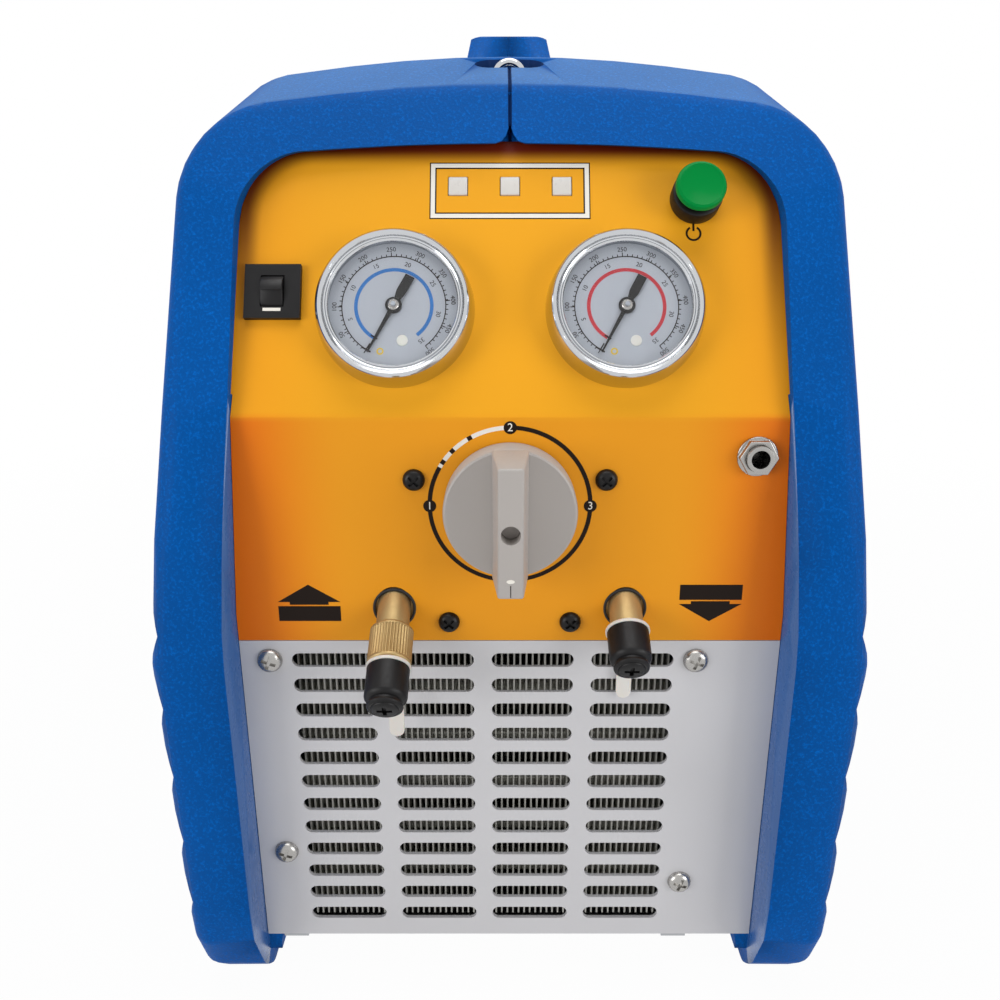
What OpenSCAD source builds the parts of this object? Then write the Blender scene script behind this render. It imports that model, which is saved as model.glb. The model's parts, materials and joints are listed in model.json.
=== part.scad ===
// Portable refrigerant recovery machine: two moulded shells around a bent control panel,
// a slotted front grille, a finned condenser, a fan and a motor-driven compressor.
// Front faces -Y, +Z is up, the origin is on the ground at the middle of the overall box.

/* [Shells] */
// Overall width across the bumper ribs
body_w = 253.8; // [242:0.2:280]
// Height from the ground to the top of the carry grip
body_h = 371.5; // [362:0.5:390]
// Depth of the shells from the front rim to the back
shell_d = 380; // [360:1:420]
// Wall of the moulded shells
wall = 5; // [3.5:0.5:5.5]
// Radius of the rounded outer edges
edge_r = 8; // [7:0.5:10]
// Gap along the seam between the two shells
seam_gap = 0; // [0:0.1:0.6]
// Corner radius at the feet
foot_r = 18; // [14:1:24]
// Corner radius at the shoulders
shoulder_r = 35; // [30:1:48]
// Step in of the flank at the feet
foot_in = 2; // [1:0.5:8]
// Step in of the flank at the waist
waist_in = 8; // [5:0.5:13]
// Step in of the flank at the shoulder
shoulder_in = 10.5; // [8:0.5:16]
// Distance of the widest line of the flank below the joint of panel and grille
swell_drop = 2.6; // [0:0.2:12]
// Distance from that joint down to where the front face starts to lean back
lean_drop = 19.6; // [0:0.2:40]
// Radius of the leaning front face
lean_r = 350; // [320:5:600]
// Radius of the toe under the front
toe_r = 45; // [30:1:60]
// Drop of the roof from the crown to the shoulder
crown_drop = 6; // [4:0.2:16]
// Height of the brow over the panel, below the crown
brow_drop = 14; // [8:1:18]
// How far the crown lies behind the brow
crown_back = 42; // [24:1:60]
// Number of bumper ribs on each flank
rib_count = 4; // [2:1:5]
// Depth of the grooves between the bumper ribs
rib_depth = 3.4; // [1:0.1:3.5]
// Rise of the first groove above the joint of panel and grille
rib_rise = 9.4; // [0:0.2:14]

/* [Carry grip] */
// Rise of the grip above the crown
grip_rise = 9.7; // [4:0.1:12]
// Width of the grip at its root
grip_w = 40; // [30:1:44]
// Width of the grip at its top
grip_top_w = 19; // [12:1:22]
// Height of the grip bar over the finger gap
grip_h = 24; // [20:1:30]
// Length of the hand pocket
pocket_l = 124; // [100:1:150]
// Width from the middle to the pocket's outer wall
pocket_half_w = 54; // [48:1:60]
// Height of the finger gap below the grip
pocket_h = 28; // [24:1:36]
// Outer diameter of the strap eye
eye_d = 13.5; // [12:0.5:16]
// Wire diameter of the strap eye
eye_wire = 3; // [2:0.5:4]
// Width of the recess round the strap eye
eye_recess_w = 26.5; // [20:0.5:32]

/* [Front opening] */
// Half width of the opening beside the grille
open_w = 99.5; // [90:0.5:104]
// Half width of the opening beside the gauges
open_up_w = 91; // [84:0.5:94]
// Rise above the joint of panel and grille where the opening starts to narrow
open_turn_rise = 10.4; // [4:0.2:40]
// Distance from the crown down to the opening's top edge
open_top_drop = 37.8; // [36:0.2:42]
// Corner radius at the top of the opening
open_r = 25; // [15:1:35]
// Depth from the rim to the lower panel
rim_depth = 19; // [14:1:24]
// Thickness of the return wall round the opening
return_t = 7; // [6.5:0.5:8]
// Width of the ledge behind the panel's edge
ledge_w = 5; // [3:0.5:6]
// Thickness of that ledge
ledge_t = 5; // [3:0.5:8]
// Overlap of the sloping panel behind the rim
tuck_w = 3.4; // [2:0.2:5]
// Height on the slope where that overlap starts
tuck_s = 8; // [6:0.5:12]
// Size of the notch at the seam over the panel
notch = 6; // [2:0.5:8]

/* [Sheets] */
// Thickness of the panel, grille, rear and base sheets
sheet_t = 1.5; // [1:0.1:2]
// Clearance round each sheet
fit_gap = 0.25; // [0.1:0.05:0.4]
// Distance from the grip down to the bend in the control panel
bend_drop = 133.5; // [128:0.5:140]
// Lean of the upper control panel
lean = 26; // [20:1:30]
// Distance from the bend down to the joint between panel and grille
split_drop = 83.4; // [82:0.2:85]
// Height of the grille's bottom edge
grille_z = 20; // [18:0.5:22]
// Slot length
slot_l = 30.4; // [26:0.2:33]
// Slot height
slot_h = 5.6; // [4:0.2:7]
// Slot spacing across
slot_px = 36.9; // [35:0.1:38]
// Number of slots across
slot_nx = 4; // [2:1:4]
// Number of slots down
slot_nz = 12; // [6:1:12]
// Middle of the slot field
slot_cx = -9.9; // [-12:0.1:0]
// Distance from the joint down to the top row of slots
slot_drop = 8.2; // [7.6:0.2:10]
// Rise of the lowest row of slots above the bottom edge
slot_rise = 10.9; // [8:0.1:14]
// Half width of the rear opening
rear_w = 90; // [80:1:95]
// Height of the rear opening's bottom edge
rear_z0 = 26; // [24:1:34]
// Distance from the grip down to the rear opening's top edge
rear_drop = 85.5; // [84:0.5:120]
// Depth of the rear sheet behind the back face
rear_depth = 6; // [4:0.5:10]
// Height of the base sheet's underside
pan_z = 16; // [14:0.5:16.5]

/* [Knob and valve] */
// Distance from the bend down to the selector knob's axis
knob_drop = 31.5; // [28:0.5:34]
// Diameter of the knob's disc
knob_d = 46; // [40:0.5:48]
// Thickness of the knob's disc
knob_t = 10; // [8:0.5:14]
// Length of the knob's bar
bar_l = 44; // [36:0.5:46]
// Width of the knob's bar at its face
bar_w = 8.5; // [6:0.5:11]
// Height of the bar's face from the panel
bar_out = 30; // [24:0.5:36]
// Diameter of the valve spindle
spindle_d = 8; // [6:0.5:9]
// Radial running clearance of turning shafts
run_gap = 0.06; // [0.03:0.01:0.1]
// Half width of the valve manifold
manifold_w = 53; // [50:0.5:56]
// Depth of the valve manifold
manifold_d = 30; // [26:0.5:36]
// Distance from the bend down to the manifold's top
manifold_drop = 15; // [12:0.5:17]

/* [Ports] */
// Distance of each port from the middle
port_x = 41.8; // [38:0.2:44]
// Distance from the bend down to the ports
port_drop = 70.5; // [69:0.5:72]
// Downward tilt of the ports
port_tilt = 30; // [26:1:34]
// Diameter of the port bodies
port_d = 11.8; // [10:0.2:12.4]
// Diameter of the panel's port holes
port_hole_d = 14.4; // [13.4:0.2:15]
// Diameter of the sealing cone's neck
neck_d = 9.5; // [8:0.1:9.6]
// Outer diameter of the inlet filter
filter_d = 15.4; // [14:0.2:17]
// Length of the inlet filter
filter_l = 15; // [12:0.5:18]
// Length of the port body outside the panel
port_out = 9.5; // [9:0.5:11]
// Outer diameter of the caps
cap_d = 14.8; // [13:0.2:16]
// Length of the caps
cap_l = 16; // [14:0.5:20]
// Thickness of the cap strap
strap_t = 1.2; // [0.8:0.1:1.6]

/* [Gauges] */
// Distance of each gauge from the middle
gauge_x = 39.4; // [36:0.2:42]
// Distance of the gauges up the slope
gauge_s = 37.5; // [34:0.5:40]
// Diameter of the gauge case
gauge_d = 48; // [44:0.5:50]
// Diameter of the bezel
bezel_d = 52.4; // [51:0.2:54]
// Height of the bezel over the panel
bezel_h = 10; // [7:0.5:12]
// Depth of the case behind the panel
gauge_back = 20; // [16:0.5:24]
// Wall of the gauge case
case_t = 1.5; // [1:0.1:2]
// Angle of the resting pointer from straight down, clockwise
pointer_rest = 28; // [15:1:45]

/* [Switches and lamps] */
// Position of the start button across
button_x = 64.5; // [60:0.5:66]
// Position of the start button up the slope
button_s = 77.5; // [76:0.5:79]
// Outer diameter of the button's collar
collar_d = 17.4; // [16:0.2:19]
// Height of the collar
collar_h = 11; // [8:0.5:13]
// Diameter of the button
button_d = 13; // [11:0.2:14]
// Stroke of the button
button_stroke = 3; // [1:0.5:4]
// Position of the breaker across
breaker_x = -81.4; // [-81.6:0.2:-80]
// Position of the breaker up the slope
breaker_s = 43.8; // [40:0.2:46]
// Side of the breaker's face
breaker_w = 19.2; // [17:0.2:20]
// Width of the breaker's rocker
rocker_w = 7.6; // [6:0.2:9]
// Radius of the breaker's rocker
rocker_r = 6.4; // [5:0.1:7]
// Spacing of the lamps
lamp_px = 18.2; // [16:0.2:20]
// Position of the lamps up the slope
lamp_s = 82.8; // [80:0.2:83]
// Side of each lamp window
lamp_w = 6.6; // [5:0.2:8]
// Position of the jack across
jack_x = 84.6; // [82:0.2:85]
// Distance from the bend down to the jack
jack_drop = 13.5; // [12:0.5:16]
// Bore of the jack
jack_bore_d = 6.4; // [6.3:0.05:6.5]
// Diameter of the jack's barrel
jack_d = 9.2; // [8.8:0.1:9.6]

/* [Cooling and drive] */
// Number of condenser fins
fin_n = 61; // [20:1:62]
// Spacing of the condenser fins
fin_pitch = 2.36; // [2:0.02:2.4]
// Thickness of a fin
fin_t = 0.3; // [0.2:0.05:0.4]
// Depth of the fin pack
fin_d = 38; // [36:0.5:42]
// Gap between the grille and the fins
fin_gap = 9; // [6:0.5:10]
// Diameter of the condenser tubes
tube_d = 9.5; // [7:0.1:10]
// Number of tubes in each row
tube_n = 5; // [3:2:5]
// Depth of the condenser's end plates
end_d = 52; // [50:0.5:56]
// Diameter of the fan
fan_d = 118; // [100:1:122]
// Number of fan blades
blade_n = 5; // [3:1:7]
// Diameter of the motor shaft
shaft_d = 8; // [6:0.5:10]
// Height of the motor shaft
shaft_z = 88; // [86:0.5:92]
// Diameter of the motor
motor_d = 92; // [80:1:98]
// Length of the motor
motor_l = 104; // [80:1:110]
// Side of the crankcase
crank_w = 88; // [70:1:96]
// Length of the crankcase
crank_l = 84; // [76:1:90]
// Bore housing diameter of the cylinder
barrel_d = 52; // [46:1:58]
// Height of the finned cylinder
barrel_h = 52; // [44:1:60]
// Diameter of the copper pipes
pipe_d = 8; // [6:0.5:9]

/* [Hidden] */
$fn = 48;

eps = 0.02;
far = 600;
k = edge_r;
crown_z = body_h - grip_rise;
brow_z = crown_z - brow_drop;
shoulder_z = crown_z - crown_drop - shoulder_r;
shoulder_x = body_w / 2 - shoulder_in - shoulder_r;
foot_x = body_w / 2 - foot_in - foot_r;
foot_top_z = 50;
bend_z = body_h - bend_drop;
split_z = bend_z - split_drop;
swell_z = split_z - swell_drop;
lean_start_z = split_z - lean_drop;
open_turn_z = split_z + open_turn_rise;
rib_top_z = split_z + rib_rise;
rib_foot = 2;
rib_pitch = (rib_top_z - foot_top_z - rib_foot) / rib_count;
knob_z = bend_z - knob_drop;
port_z = bend_z - port_drop;
jack_z = bend_z - jack_drop;
manifold_z0 = split_z + 1.9;
manifold_z1 = bend_z - manifold_drop;
slot_top_z = split_z - slot_drop;
slot_pz = (slot_top_z - grille_z - slot_rise) / (slot_nz - 1);
rear_z1 = body_h - rear_drop;
open_top = crown_z - open_top_drop;
rear_r = 90;

// Ports reach past the rim, so the overall box starts at the end of the longer cap
screw_gap = 0.3;
inlet_end = port_out + filter_l + strap_t + screw_gap + cap_l;
outlet_end = port_out + strap_t + screw_gap + cap_l;
cap_edge = 0.8;
cap_reach = max(inlet_end * cos(port_tilt) + (cap_d / 2 - cap_edge) * sin(port_tilt),
    (inlet_end - cap_edge) * cos(port_tilt) + cap_d / 2 * sin(port_tilt));
front_over = max(cap_reach - rim_depth, bar_out - rim_depth);
shell_y0 = -(shell_d + front_over) / 2 + front_over;
shell_y1 = shell_y0 + shell_d;
py = shell_y0 + rim_depth;
rear_y = shell_y1 - rear_depth;

// Setback of the front and rear faces at a height
function front_in(z) = z > lean_start_z ? lean_r - sqrt(lean_r * lean_r - pow(z - lean_start_z, 2))
    : z < toe_r ? toe_r - sqrt(toe_r * toe_r - pow(toe_r - z, 2)) : 0;
function rear_in(z) = z > shoulder_z ? rear_r - sqrt(rear_r * rear_r - pow(z - shoulder_z, 2)) : 0;

// Half width of the flank at a height
function mix_at(z, z0, a, z1, b) = a + (b - a) * (z - z0) / (z1 - z0);
function flank(z) = z < swell_z
    ? mix_at(z, foot_top_z, body_w / 2 - foot_in, swell_z, body_w / 2)
    : mix_at(z, swell_z, body_w / 2, bend_z, body_w / 2 - waist_in);

// Centres of the edge balls, as [x, z], for the lower and upper halves of the flank
flank_steps = [(foot_r + foot_top_z) / 2, foot_top_z, swell_z, (swell_z + bend_z) / 2, bend_z];
lower_pts = concat(
    [for (a = [-90:30:0]) [foot_x + (foot_r - k) * cos(a), foot_r + (foot_r - k) * sin(a)]],
    [for (z = flank_steps) [flank(z) - k, z]],
    [[0, k], [0, foot_top_z], [0, swell_z], [0, bend_z]]);
roof_pts = concat(
    [for (a = [0:10:90]) [shoulder_x + (shoulder_r - k) * cos(a), shoulder_z + (shoulder_r - k) * sin(a)]],
    [for (t = [0:0.25:0.75]) [t * shoulder_x, crown_z - crown_drop * t * t - k]]);
brow_pts = concat(
    [[flank(bend_z) - k, bend_z], [0, bend_z]],
    [for (t = [1:2]) [0, mix_at(t, 0, bend_z, 3, brow_z - k)]],
    [for (p = roof_pts) [p[0], p[1] - brow_drop]]);

// Outline of the front opening, grown by d, down to height z0
function open_half(d, z0) = concat(
    z0 < open_turn_z ? [[open_w + d, z0], [open_w + d, open_turn_z]] : [[open_at(z0) + d, z0]],
    [[open_up_w + d, open_top - open_r]],
    [for (a = [15:15:90]) [open_up_w - open_r + (open_r + d) * cos(a), open_top - open_r + (open_r + d) * sin(a)]]);
function mirror_x(pts) = [for (i = [len(pts) - 1:-1:0]) [-pts[i][0], pts[i][1]]];
function opening(d, z0) = concat(open_half(d, z0), mirror_x(open_half(d, z0)));

// Outline of the sloping panel in its own plane, grown by d
function open_at(z) = mix_at(z, open_turn_z, open_w, open_top - open_r, open_up_w);
function slope_top_half(d) = concat(
    [[open_at(bend_z + tuck_s) + d, tuck_s], [open_up_w + d, (open_top - open_r - bend_z) / cos(lean)]],
    [for (a = [15:15:90]) [open_up_w - open_r + (open_r + d) * cos(a),
        (open_top - open_r + (open_r + d) * sin(a) - bend_z) / cos(lean)]]);
function slope_top(d) = concat(slope_top_half(d), mirror_x(slope_top_half(d)));

// A ball with exact extents
module ball(r, n) {
    rotate_extrude($fn = n)
        polygon([for (a = [-90:360 / n:90]) [max(r * cos(a), 0), r * sin(a)]]);
}

// A prism along Y from a profile in X and Z
module along_y(y0, y1) {
    translate([0, y1, 0])
        rotate([90, 0, 0])
            linear_extrude(y1 - y0)
                children();
}

// A prism along X from a profile in Y and Z
module along_x(x0, x1) {
    translate([x0, 0, 0])
        rotate([90, 0, 90])
            linear_extrude(x1 - x0)
                children();
}

// A box between two corners
module block(lo, hi) {
    translate(lo)
        cube(hi - lo);
}

// Places a child on the upright panel, on the sloping panel and at a port
module on_panel(x, z) {
    translate([x, py, z])
        children();
}

module on_slope(x, s) {
    translate([x, py, bend_z])
        rotate([-lean, 0, 0])
            translate([0, 0, s])
                children();
}

module at_port(x) {
    translate([x, py, port_z])
        rotate([90 + port_tilt, 0, 0])
            children();
}

// A cylinder standing out of a panel from depth y0 to y1, front being negative
module rod_y(r, y0, y1) {
    translate([0, y1, 0])
        rotate([90, 0, 0])
            cylinder(r = r, h = y1 - y0);
}

// A round pipe along straight runs with ball elbows
module pipe(pts, r) {
    for (i = [0:len(pts) - 2]) {
        run = pts[i + 1] - pts[i];
        translate(pts[i])
            rotate([0, acos(run[2] / norm(run)), atan2(run[1], run[0])])
                cylinder(r = r, h = norm(run));
    }
    for (i = [1:1:len(pts) - 2])
        translate(pts[i])
            sphere(r = r);
}

// A dome-headed screw whose head stands out along -Y
module dome_screw(head_r, head_h, shank_r, shank_l) {
    rotate([90, 0, 0])
        rotate_extrude()
            polygon(concat([[0, -shank_l], [shank_r, -shank_l], [shank_r, 0]],
                [for (a = [0:15:90]) [head_r * pow(cos(a), 0.6), head_h * sin(a)]]));
}

// Half of the outer or inner form of the housing, as two rounded lofts
module form_lower(r, n) {
    hull()
        for (p = lower_pts) {
            translate([p[0], shell_y0 + front_in(p[1]) + k, p[1]])
                ball(r, n);
            translate([p[0], shell_y1 - rear_in(p[1]) - k, p[1]])
                ball(r, n);
        }
}

module form_upper(r, n) {
    hull() {
        for (p = brow_pts) {
            translate([p[0], shell_y0 + front_in(p[1]) + k, p[1]])
                ball(r, n);
            translate([p[0], shell_y1 - rear_in(p[1]) - k, p[1]])
                ball(r, n);
        }
        for (p = roof_pts, y = [shell_y0 + front_in(brow_z) + crown_back, shell_y1 - rear_in(brow_z) - crown_back])
            translate([p[0], y, p[1]])
                ball(r, n);
    }
}

// The raised grip along the crown
grip_edge = 4;
grip_y0 = shell_y0 + front_in(brow_z) + crown_back + 6;
grip_y1 = shell_y1 - rear_in(brow_z) - crown_back - 6;
module grip() {
    hull() {
        for (y = [grip_y0, grip_y1])
            translate([grip_w / 2 - grip_edge, y, crown_z - grip_edge - 1])
                ball(grip_edge, 24);
        for (y = [grip_y0 + grip_rise, grip_y1 - grip_rise], x = [0, grip_top_w / 2 - grip_edge])
            translate([x, y, body_h - grip_edge])
                ball(grip_edge, 24);
        for (y = [grip_y0, grip_y1])
            translate([0, y, crown_z - grip_edge - 2])
                ball(grip_edge, 24);
    }
}

// Space in front of the panel's back face, moved back by d
module panel_front_space(d) {
    along_x(-far, far)
        polygon([[-far, -1], [py + sheet_t + d, -1], [py + sheet_t + d, bend_z],
            [py + sheet_t + d + far * tan(lean), bend_z + far], [-far, bend_z + far]]);
}

// The hand pocket beside and below the grip
pocket_z0 = body_h - grip_h - pocket_h;
module pocket_space() {
    difference() {
        hull()
            for (y = [-1, 1], x = [-k, pocket_half_w - k])
                translate([x, y * (pocket_l / 2 - k), pocket_z0])
                    cylinder(r = k, h = far / 4, $fn = 24);
        hull()
            for (y = [-1, 1], z = [body_h - grip_h + grip_edge, body_h + far / 4])
                translate([0, y * far / 4, z])
                    block([-far / 4, -1, 0], [grip_w / 2, 1, 1]);
    }
}

// Grooves between the bumper ribs
rib_lead = rib_pitch * 0.39;
module rib_grooves() {
    along_y(-far, far)
        polygon(concat(
            [[far, rib_top_z + rib_lead], [flank(rib_top_z + rib_lead), rib_top_z + rib_lead]],
            [for (i = [0:rib_count], j = [0, 1])
                let (z = rib_top_z - i * rib_pitch - j * rib_lead)
                    [flank(z) - (1 - j) * rib_depth + j * eps, z]],
            [[far, rib_top_z - rib_count * rib_pitch - rib_lead]]));
}

// Recess for the strap eye at the seam
eye_back = 30;
eye_sink = 4.8;
eye_y = shell_y0 + front_in(brow_z) + eye_back;
eye_z = brow_z + brow_drop * eye_back / crown_back - eye_sink;
eye_recess_r = 6.5;
module eye_recess() {
    hull()
        for (x = [-1, 1])
            translate([x * (eye_recess_w / 2 - eye_recess_r), eye_y - 1, eye_z - eye_d / 2 - 1])
                cylinder(r = eye_recess_r, h = far, $fn = 24);
}

// Ledges, skid walls and flanges that stand inside the shells
skid_t = 3;
flange_w = 14;
pocket_t = 3;
module inner_walls() {
    intersection() {
        along_y(-far, py + far)
            polygon(opening(return_t, -1));
        panel_front_space(ledge_t);
    }
    block([rear_w - ledge_w, rear_y - ledge_t, 0], [far, far, body_h]);
    block([0, rear_y - ledge_t - sheet_t, 0], [far, far, rear_z0 + ledge_w]);
    block([0, rear_y - ledge_t - sheet_t, rear_z1 - ledge_w], [far, far, body_h]);
    block([open_w - flange_w, -far, 0], [open_w + skid_t, far, pan_z]);
    block([-far, -pocket_l / 2 - pocket_t, pocket_z0 - pocket_t], [pocket_half_w + pocket_t, pocket_l / 2 + pocket_t, far]);
    block([-far, eye_y - 12, eye_z - eye_d / 2 - 1 - pocket_t], [eye_recess_w / 2 + 5 + pocket_t, eye_y + 10, far]);
    block([-far, grip_y0 - 4, crown_z - 12], [grip_w / 2, grip_y1 + 4, far]);
}

// One shell on the +X side
tuck_lip = 0.5;
tuck_gap = 1;
toe_gap = 6;
module half_shell() {
    difference() {
        union() {
            form_lower(k, 24);
            form_upper(k, 24);
            grip();
        }
        difference() {
            union() {
                form_lower(k - wall, 12);
                form_upper(k - wall, 12);
            }
            inner_walls();
        }
        intersection() {
            along_y(-far, py + far)
                polygon(opening(0, -1));
            panel_front_space(0);
        }
        intersection() {
            along_y(-far, py + far)
                polygon(opening(-ledge_w, -1));
            panel_front_space(ledge_t + eps);
        }
        intersection() {
            along_y(-far, py + far)
                polygon(opening(-tuck_lip, bend_z + tuck_s));
            panel_front_space(ledge_t + eps);
        }
        on_slope(0, 0)
            along_y(-tuck_gap, sheet_t)
                polygon(slope_top(tuck_w + fit_gap));
        intersection() {
            along_y(-far, far)
                polygon([[-notch, open_top - notch], [notch / 2, open_top - notch], [notch / 2, open_top], [0, open_top + notch], [-notch, open_top + notch]]);
            panel_front_space(-sheet_t - tuck_gap);
        }
        along_y(rear_y - sheet_t, far)
            polygon([[-1, rear_z0], [rear_w, rear_z0], [rear_w, rear_z1], [-1, rear_z1]]);
        block([-1, rear_y - ledge_t - 2 * sheet_t - 1, rear_z0 + ledge_w], [rear_w - ledge_w, far, rear_z1 - ledge_w]);
        block([-far, -far, -1], [open_w, far, pan_z - wall]);
        block([-far, -far, -1], [open_w - flange_w, far, pan_z + eps]);
        block([-far, -far, -1], [open_w - ledge_w, pan_y0 + toe_gap, grille_z + toe_gap]);
        pocket_space();
        rib_grooves();
        eye_recess();
        for (y = pan_screw_y)
            translate([pan_screw_x, y, -1])
                cylinder(r = m5_r + run_gap, h = pan_z + 2, $fn = 24);
        block([-far, -far, -far], [seam_gap / 2, far, far]);
    }
}

module left_shell() {
    color("#0f57a8")
        mirror([1, 0, 0])
            half_shell();
}

module right_shell() {
    color("#0f57a8")
        half_shell();
}

// Bent control panel with its cut-outs
m4_r = 2;
m5_r = 2.5;
panel_screw_up = 9.5;
panel_screw_low = 7.4;
panel_screws_at = [for (x = [-33.3, 33.3]) [x, knob_z + panel_screw_up], for (x = [-22, 22]) [x, split_z + panel_screw_low]];
panel_head = [3.9, 2.6];
panel_screw_l = 12;
grille_head = [4.7, 2.8];
grille_screw_l = 8;
screw_end_gap = 0.5;
pan_screw_l = 4;
lamp_xs = [-lamp_px, 0, lamp_px];
bend_lap = 2;
module bent_strip() {
    top_s = (open_top + tuck_w - bend_z) / cos(lean) + bend_lap;
    along_x(-body_w / 2, body_w / 2)
        polygon([[py, split_z], [py, bend_z],
            [py + top_s * sin(lean), bend_z + top_s * cos(lean)],
            [py + top_s * sin(lean) + sheet_t * cos(lean), bend_z + top_s * cos(lean) - sheet_t * sin(lean)],
            [py + sheet_t, bend_z - sheet_t * tan(lean / 2)], [py + sheet_t, split_z]]);
}

module control_panel() {
    color("#f0a020")
        difference() {
            intersection() {
                bent_strip();
                union() {
                    along_y(-far, far)
                        polygon(let (z1 = bend_z + (tuck_s + bend_lap) * cos(lean),
                            h = [[open_w - fit_gap, split_z], [open_w - fit_gap, open_turn_z],
                                [open_at(z1) - fit_gap, z1]])
                            concat(h, mirror_x(h)));
                    on_slope(0, 0)
                        along_y(-bend_lap, sheet_t + bend_lap)
                            polygon(slope_top(tuck_w));
                }
            }
            for (s = panel_screws_at)
                on_panel(s[0], s[1])
                    rod_y(m4_r + run_gap, -1, sheet_t + 1);
            on_panel(0, knob_z)
                rod_y(spindle_d / 2 + 1, -1, sheet_t + 1);
            on_panel(jack_x, jack_z)
                rod_y(jack_d / 2 + run_gap, -1, sheet_t + 1);
            for (x = [-port_x, port_x])
                at_port(x)
                    translate([0, 0, -port_hole_d])
                        cylinder(r = port_hole_d / 2, h = 2 * port_hole_d);
            for (x = [-gauge_x, gauge_x])
                on_slope(x, gauge_s)
                    rod_y(gauge_d / 2 + fit_gap, -1, sheet_t + 1);
            on_slope(button_x, button_s)
                rod_y(button_neck_r + run_gap, -1, sheet_t + 1);
            on_slope(breaker_x, breaker_s)
                block([-breaker_in / 2 - fit_gap, -1, -breaker_in / 2 - fit_gap],
                    [breaker_in / 2 + fit_gap, sheet_t + 1, breaker_in / 2 + fit_gap]);
            for (x = lamp_xs)
                on_slope(x, lamp_s)
                    block([-lamp_w / 2 - fit_gap, -1, -lamp_w / 2 - fit_gap],
                        [lamp_w / 2 + fit_gap, sheet_t + 1, lamp_w / 2 + fit_gap]);
        }
}

// Slotted grille under the control panel
end_x0 = slot_cx - (fin_n - 1) / 2 * fin_pitch - fin_pitch;
end_x1 = slot_cx + (fin_n - 1) / 2 * fin_pitch + fin_pitch;
grille_screw_in = 5.5;
grille_low = [41.2, 26.6];
grille_screws_at = [[end_x0 - grille_screw_in, slot_top_z], [end_x1 + grille_screw_in, slot_top_z],
    [end_x0 - grille_screw_in, grille_z + grille_low[0]], [end_x1 + grille_screw_in, grille_z + grille_low[1]]];
module front_grille() {
    color("#c3c2c4")
        along_y(py, py + sheet_t)
            difference() {
                translate([-open_w + fit_gap, grille_z])
                    square([2 * (open_w - fit_gap), split_z - fit_gap - grille_z]);
                for (i = [0:slot_nx - 1], j = [0:slot_nz - 1])
                    translate([slot_cx + (i - (slot_nx - 1) / 2) * slot_px, slot_top_z - j * slot_pz]) {
                        square([slot_l - slot_h, slot_h], center = true);
                        for (x = [-1, 1])
                            translate([x * (slot_l - slot_h) / 2, 0])
                                circle(d = slot_h);
                    }
                for (s = grille_screws_at)
                    translate(s)
                        circle(r = m5_r + run_gap);
            }
}

// Rear sheet with vent slots and the inlet cut-out
rear_head_r = 3.9;
rear_screw_in = rear_head_r + 0.6;
rear_screws_at = [for (x = [-1, 1], z = [rear_z0 + 20, rear_z1 - 20]) [x * (rear_w - rear_screw_in), z]];
inlet_x = 58;
inlet_z = 62;
inlet_w = 27.4;
inlet_h = 20.2;
vent_n = 11;
vent_l = 120;
vent_h = 6;
vent_pitch = 12;
vent_z0 = 108;
module rear_panel() {
    color("#c3c2c4")
        along_y(rear_y - sheet_t, rear_y)
            difference() {
                translate([-rear_w + fit_gap, rear_z0 + fit_gap])
                    square([2 * (rear_w - fit_gap), rear_z1 - rear_z0 - 2 * fit_gap]);
                for (j = [0:vent_n - 1])
                    translate([0, vent_z0 + j * vent_pitch]) {
                        square([vent_l - vent_h, vent_h], center = true);
                        for (x = [-1, 1])
                            translate([x * (vent_l - vent_h) / 2, 0])
                                circle(d = vent_h);
                    }
                translate([inlet_x, inlet_z])
                    square([inlet_w + 2 * fit_gap, inlet_h + 2 * fit_gap], center = true);
                for (s = rear_screws_at)
                    translate(s)
                        circle(r = m4_r + run_gap);
            }
}

// Base sheet with upturned sides
pan_y0 = py + sheet_t + ledge_t + 1;
pan_y1 = rear_y - ledge_t - 2 * sheet_t - 1;
pan_w = open_w - 2;
pan_lip = 12;
pan_screw_x = open_w - flange_w / 2;
pan_screw_y = [pan_y0 + 30, (pan_y0 + pan_y1) / 2, pan_y1 - 30];
module base_pan() {
    color("#9a9b9e")
        difference() {
            union() {
                block([-pan_w, pan_y0, pan_z + eps], [pan_w, pan_y1, pan_z + sheet_t]);
                for (x = [-pan_w, pan_w - sheet_t])
                    block([x, pan_y0, pan_z + eps], [x + sheet_t, pan_y1, pan_z + pan_lip]);
            }
            for (x = [-pan_screw_x, pan_screw_x], y = pan_screw_y)
                translate([x, y, 0])
                    cylinder(r = m5_r + run_gap, h = pan_z + pan_lip);
        }
}

// Steel eye pinched in the seam
module strap_eye() {
    color("#d0d0d0") {
        translate([0, eye_y, eye_z])
            rotate([90, 0, 0])
                rotate_extrude()
                    translate([(eye_d - eye_wire) / 2, 0])
                        circle(d = eye_wire, $fn = 24);
        translate([0, eye_y, eye_z - eye_d / 2 - 1])
            cylinder(d = eye_wire * 2, h = eye_wire * 0.9);
    }
}

// Fasteners
module panel_screws() {
    color("#1a1a1a")
        for (s = panel_screws_at)
            on_panel(s[0], s[1])
                dome_screw(panel_head[0], panel_head[1], m4_r, panel_screw_l);
}

module grille_screws() {
    color("#d8d8d8")
        for (s = grille_screws_at)
            on_panel(s[0], s[1])
                dome_screw(grille_head[0], grille_head[1], m5_r, grille_screw_l);
}

module rear_screws() {
    color("#d8d8d8")
        for (s = rear_screws_at)
            translate([s[0], rear_y, s[1]])
                rotate([0, 0, 180])
                    dome_screw(rear_head_r, panel_head[1], m4_r, sheet_t);
}

module pan_screws() {
    color("#d8d8d8")
        for (x = [-pan_screw_x, pan_screw_x], y = pan_screw_y)
            translate([x, y, pan_z - wall])
                rotate([90, 0, 0])
                    dome_screw(grille_head[0], grille_head[1], m5_r, wall + sheet_t + pan_screw_l);
}

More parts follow.
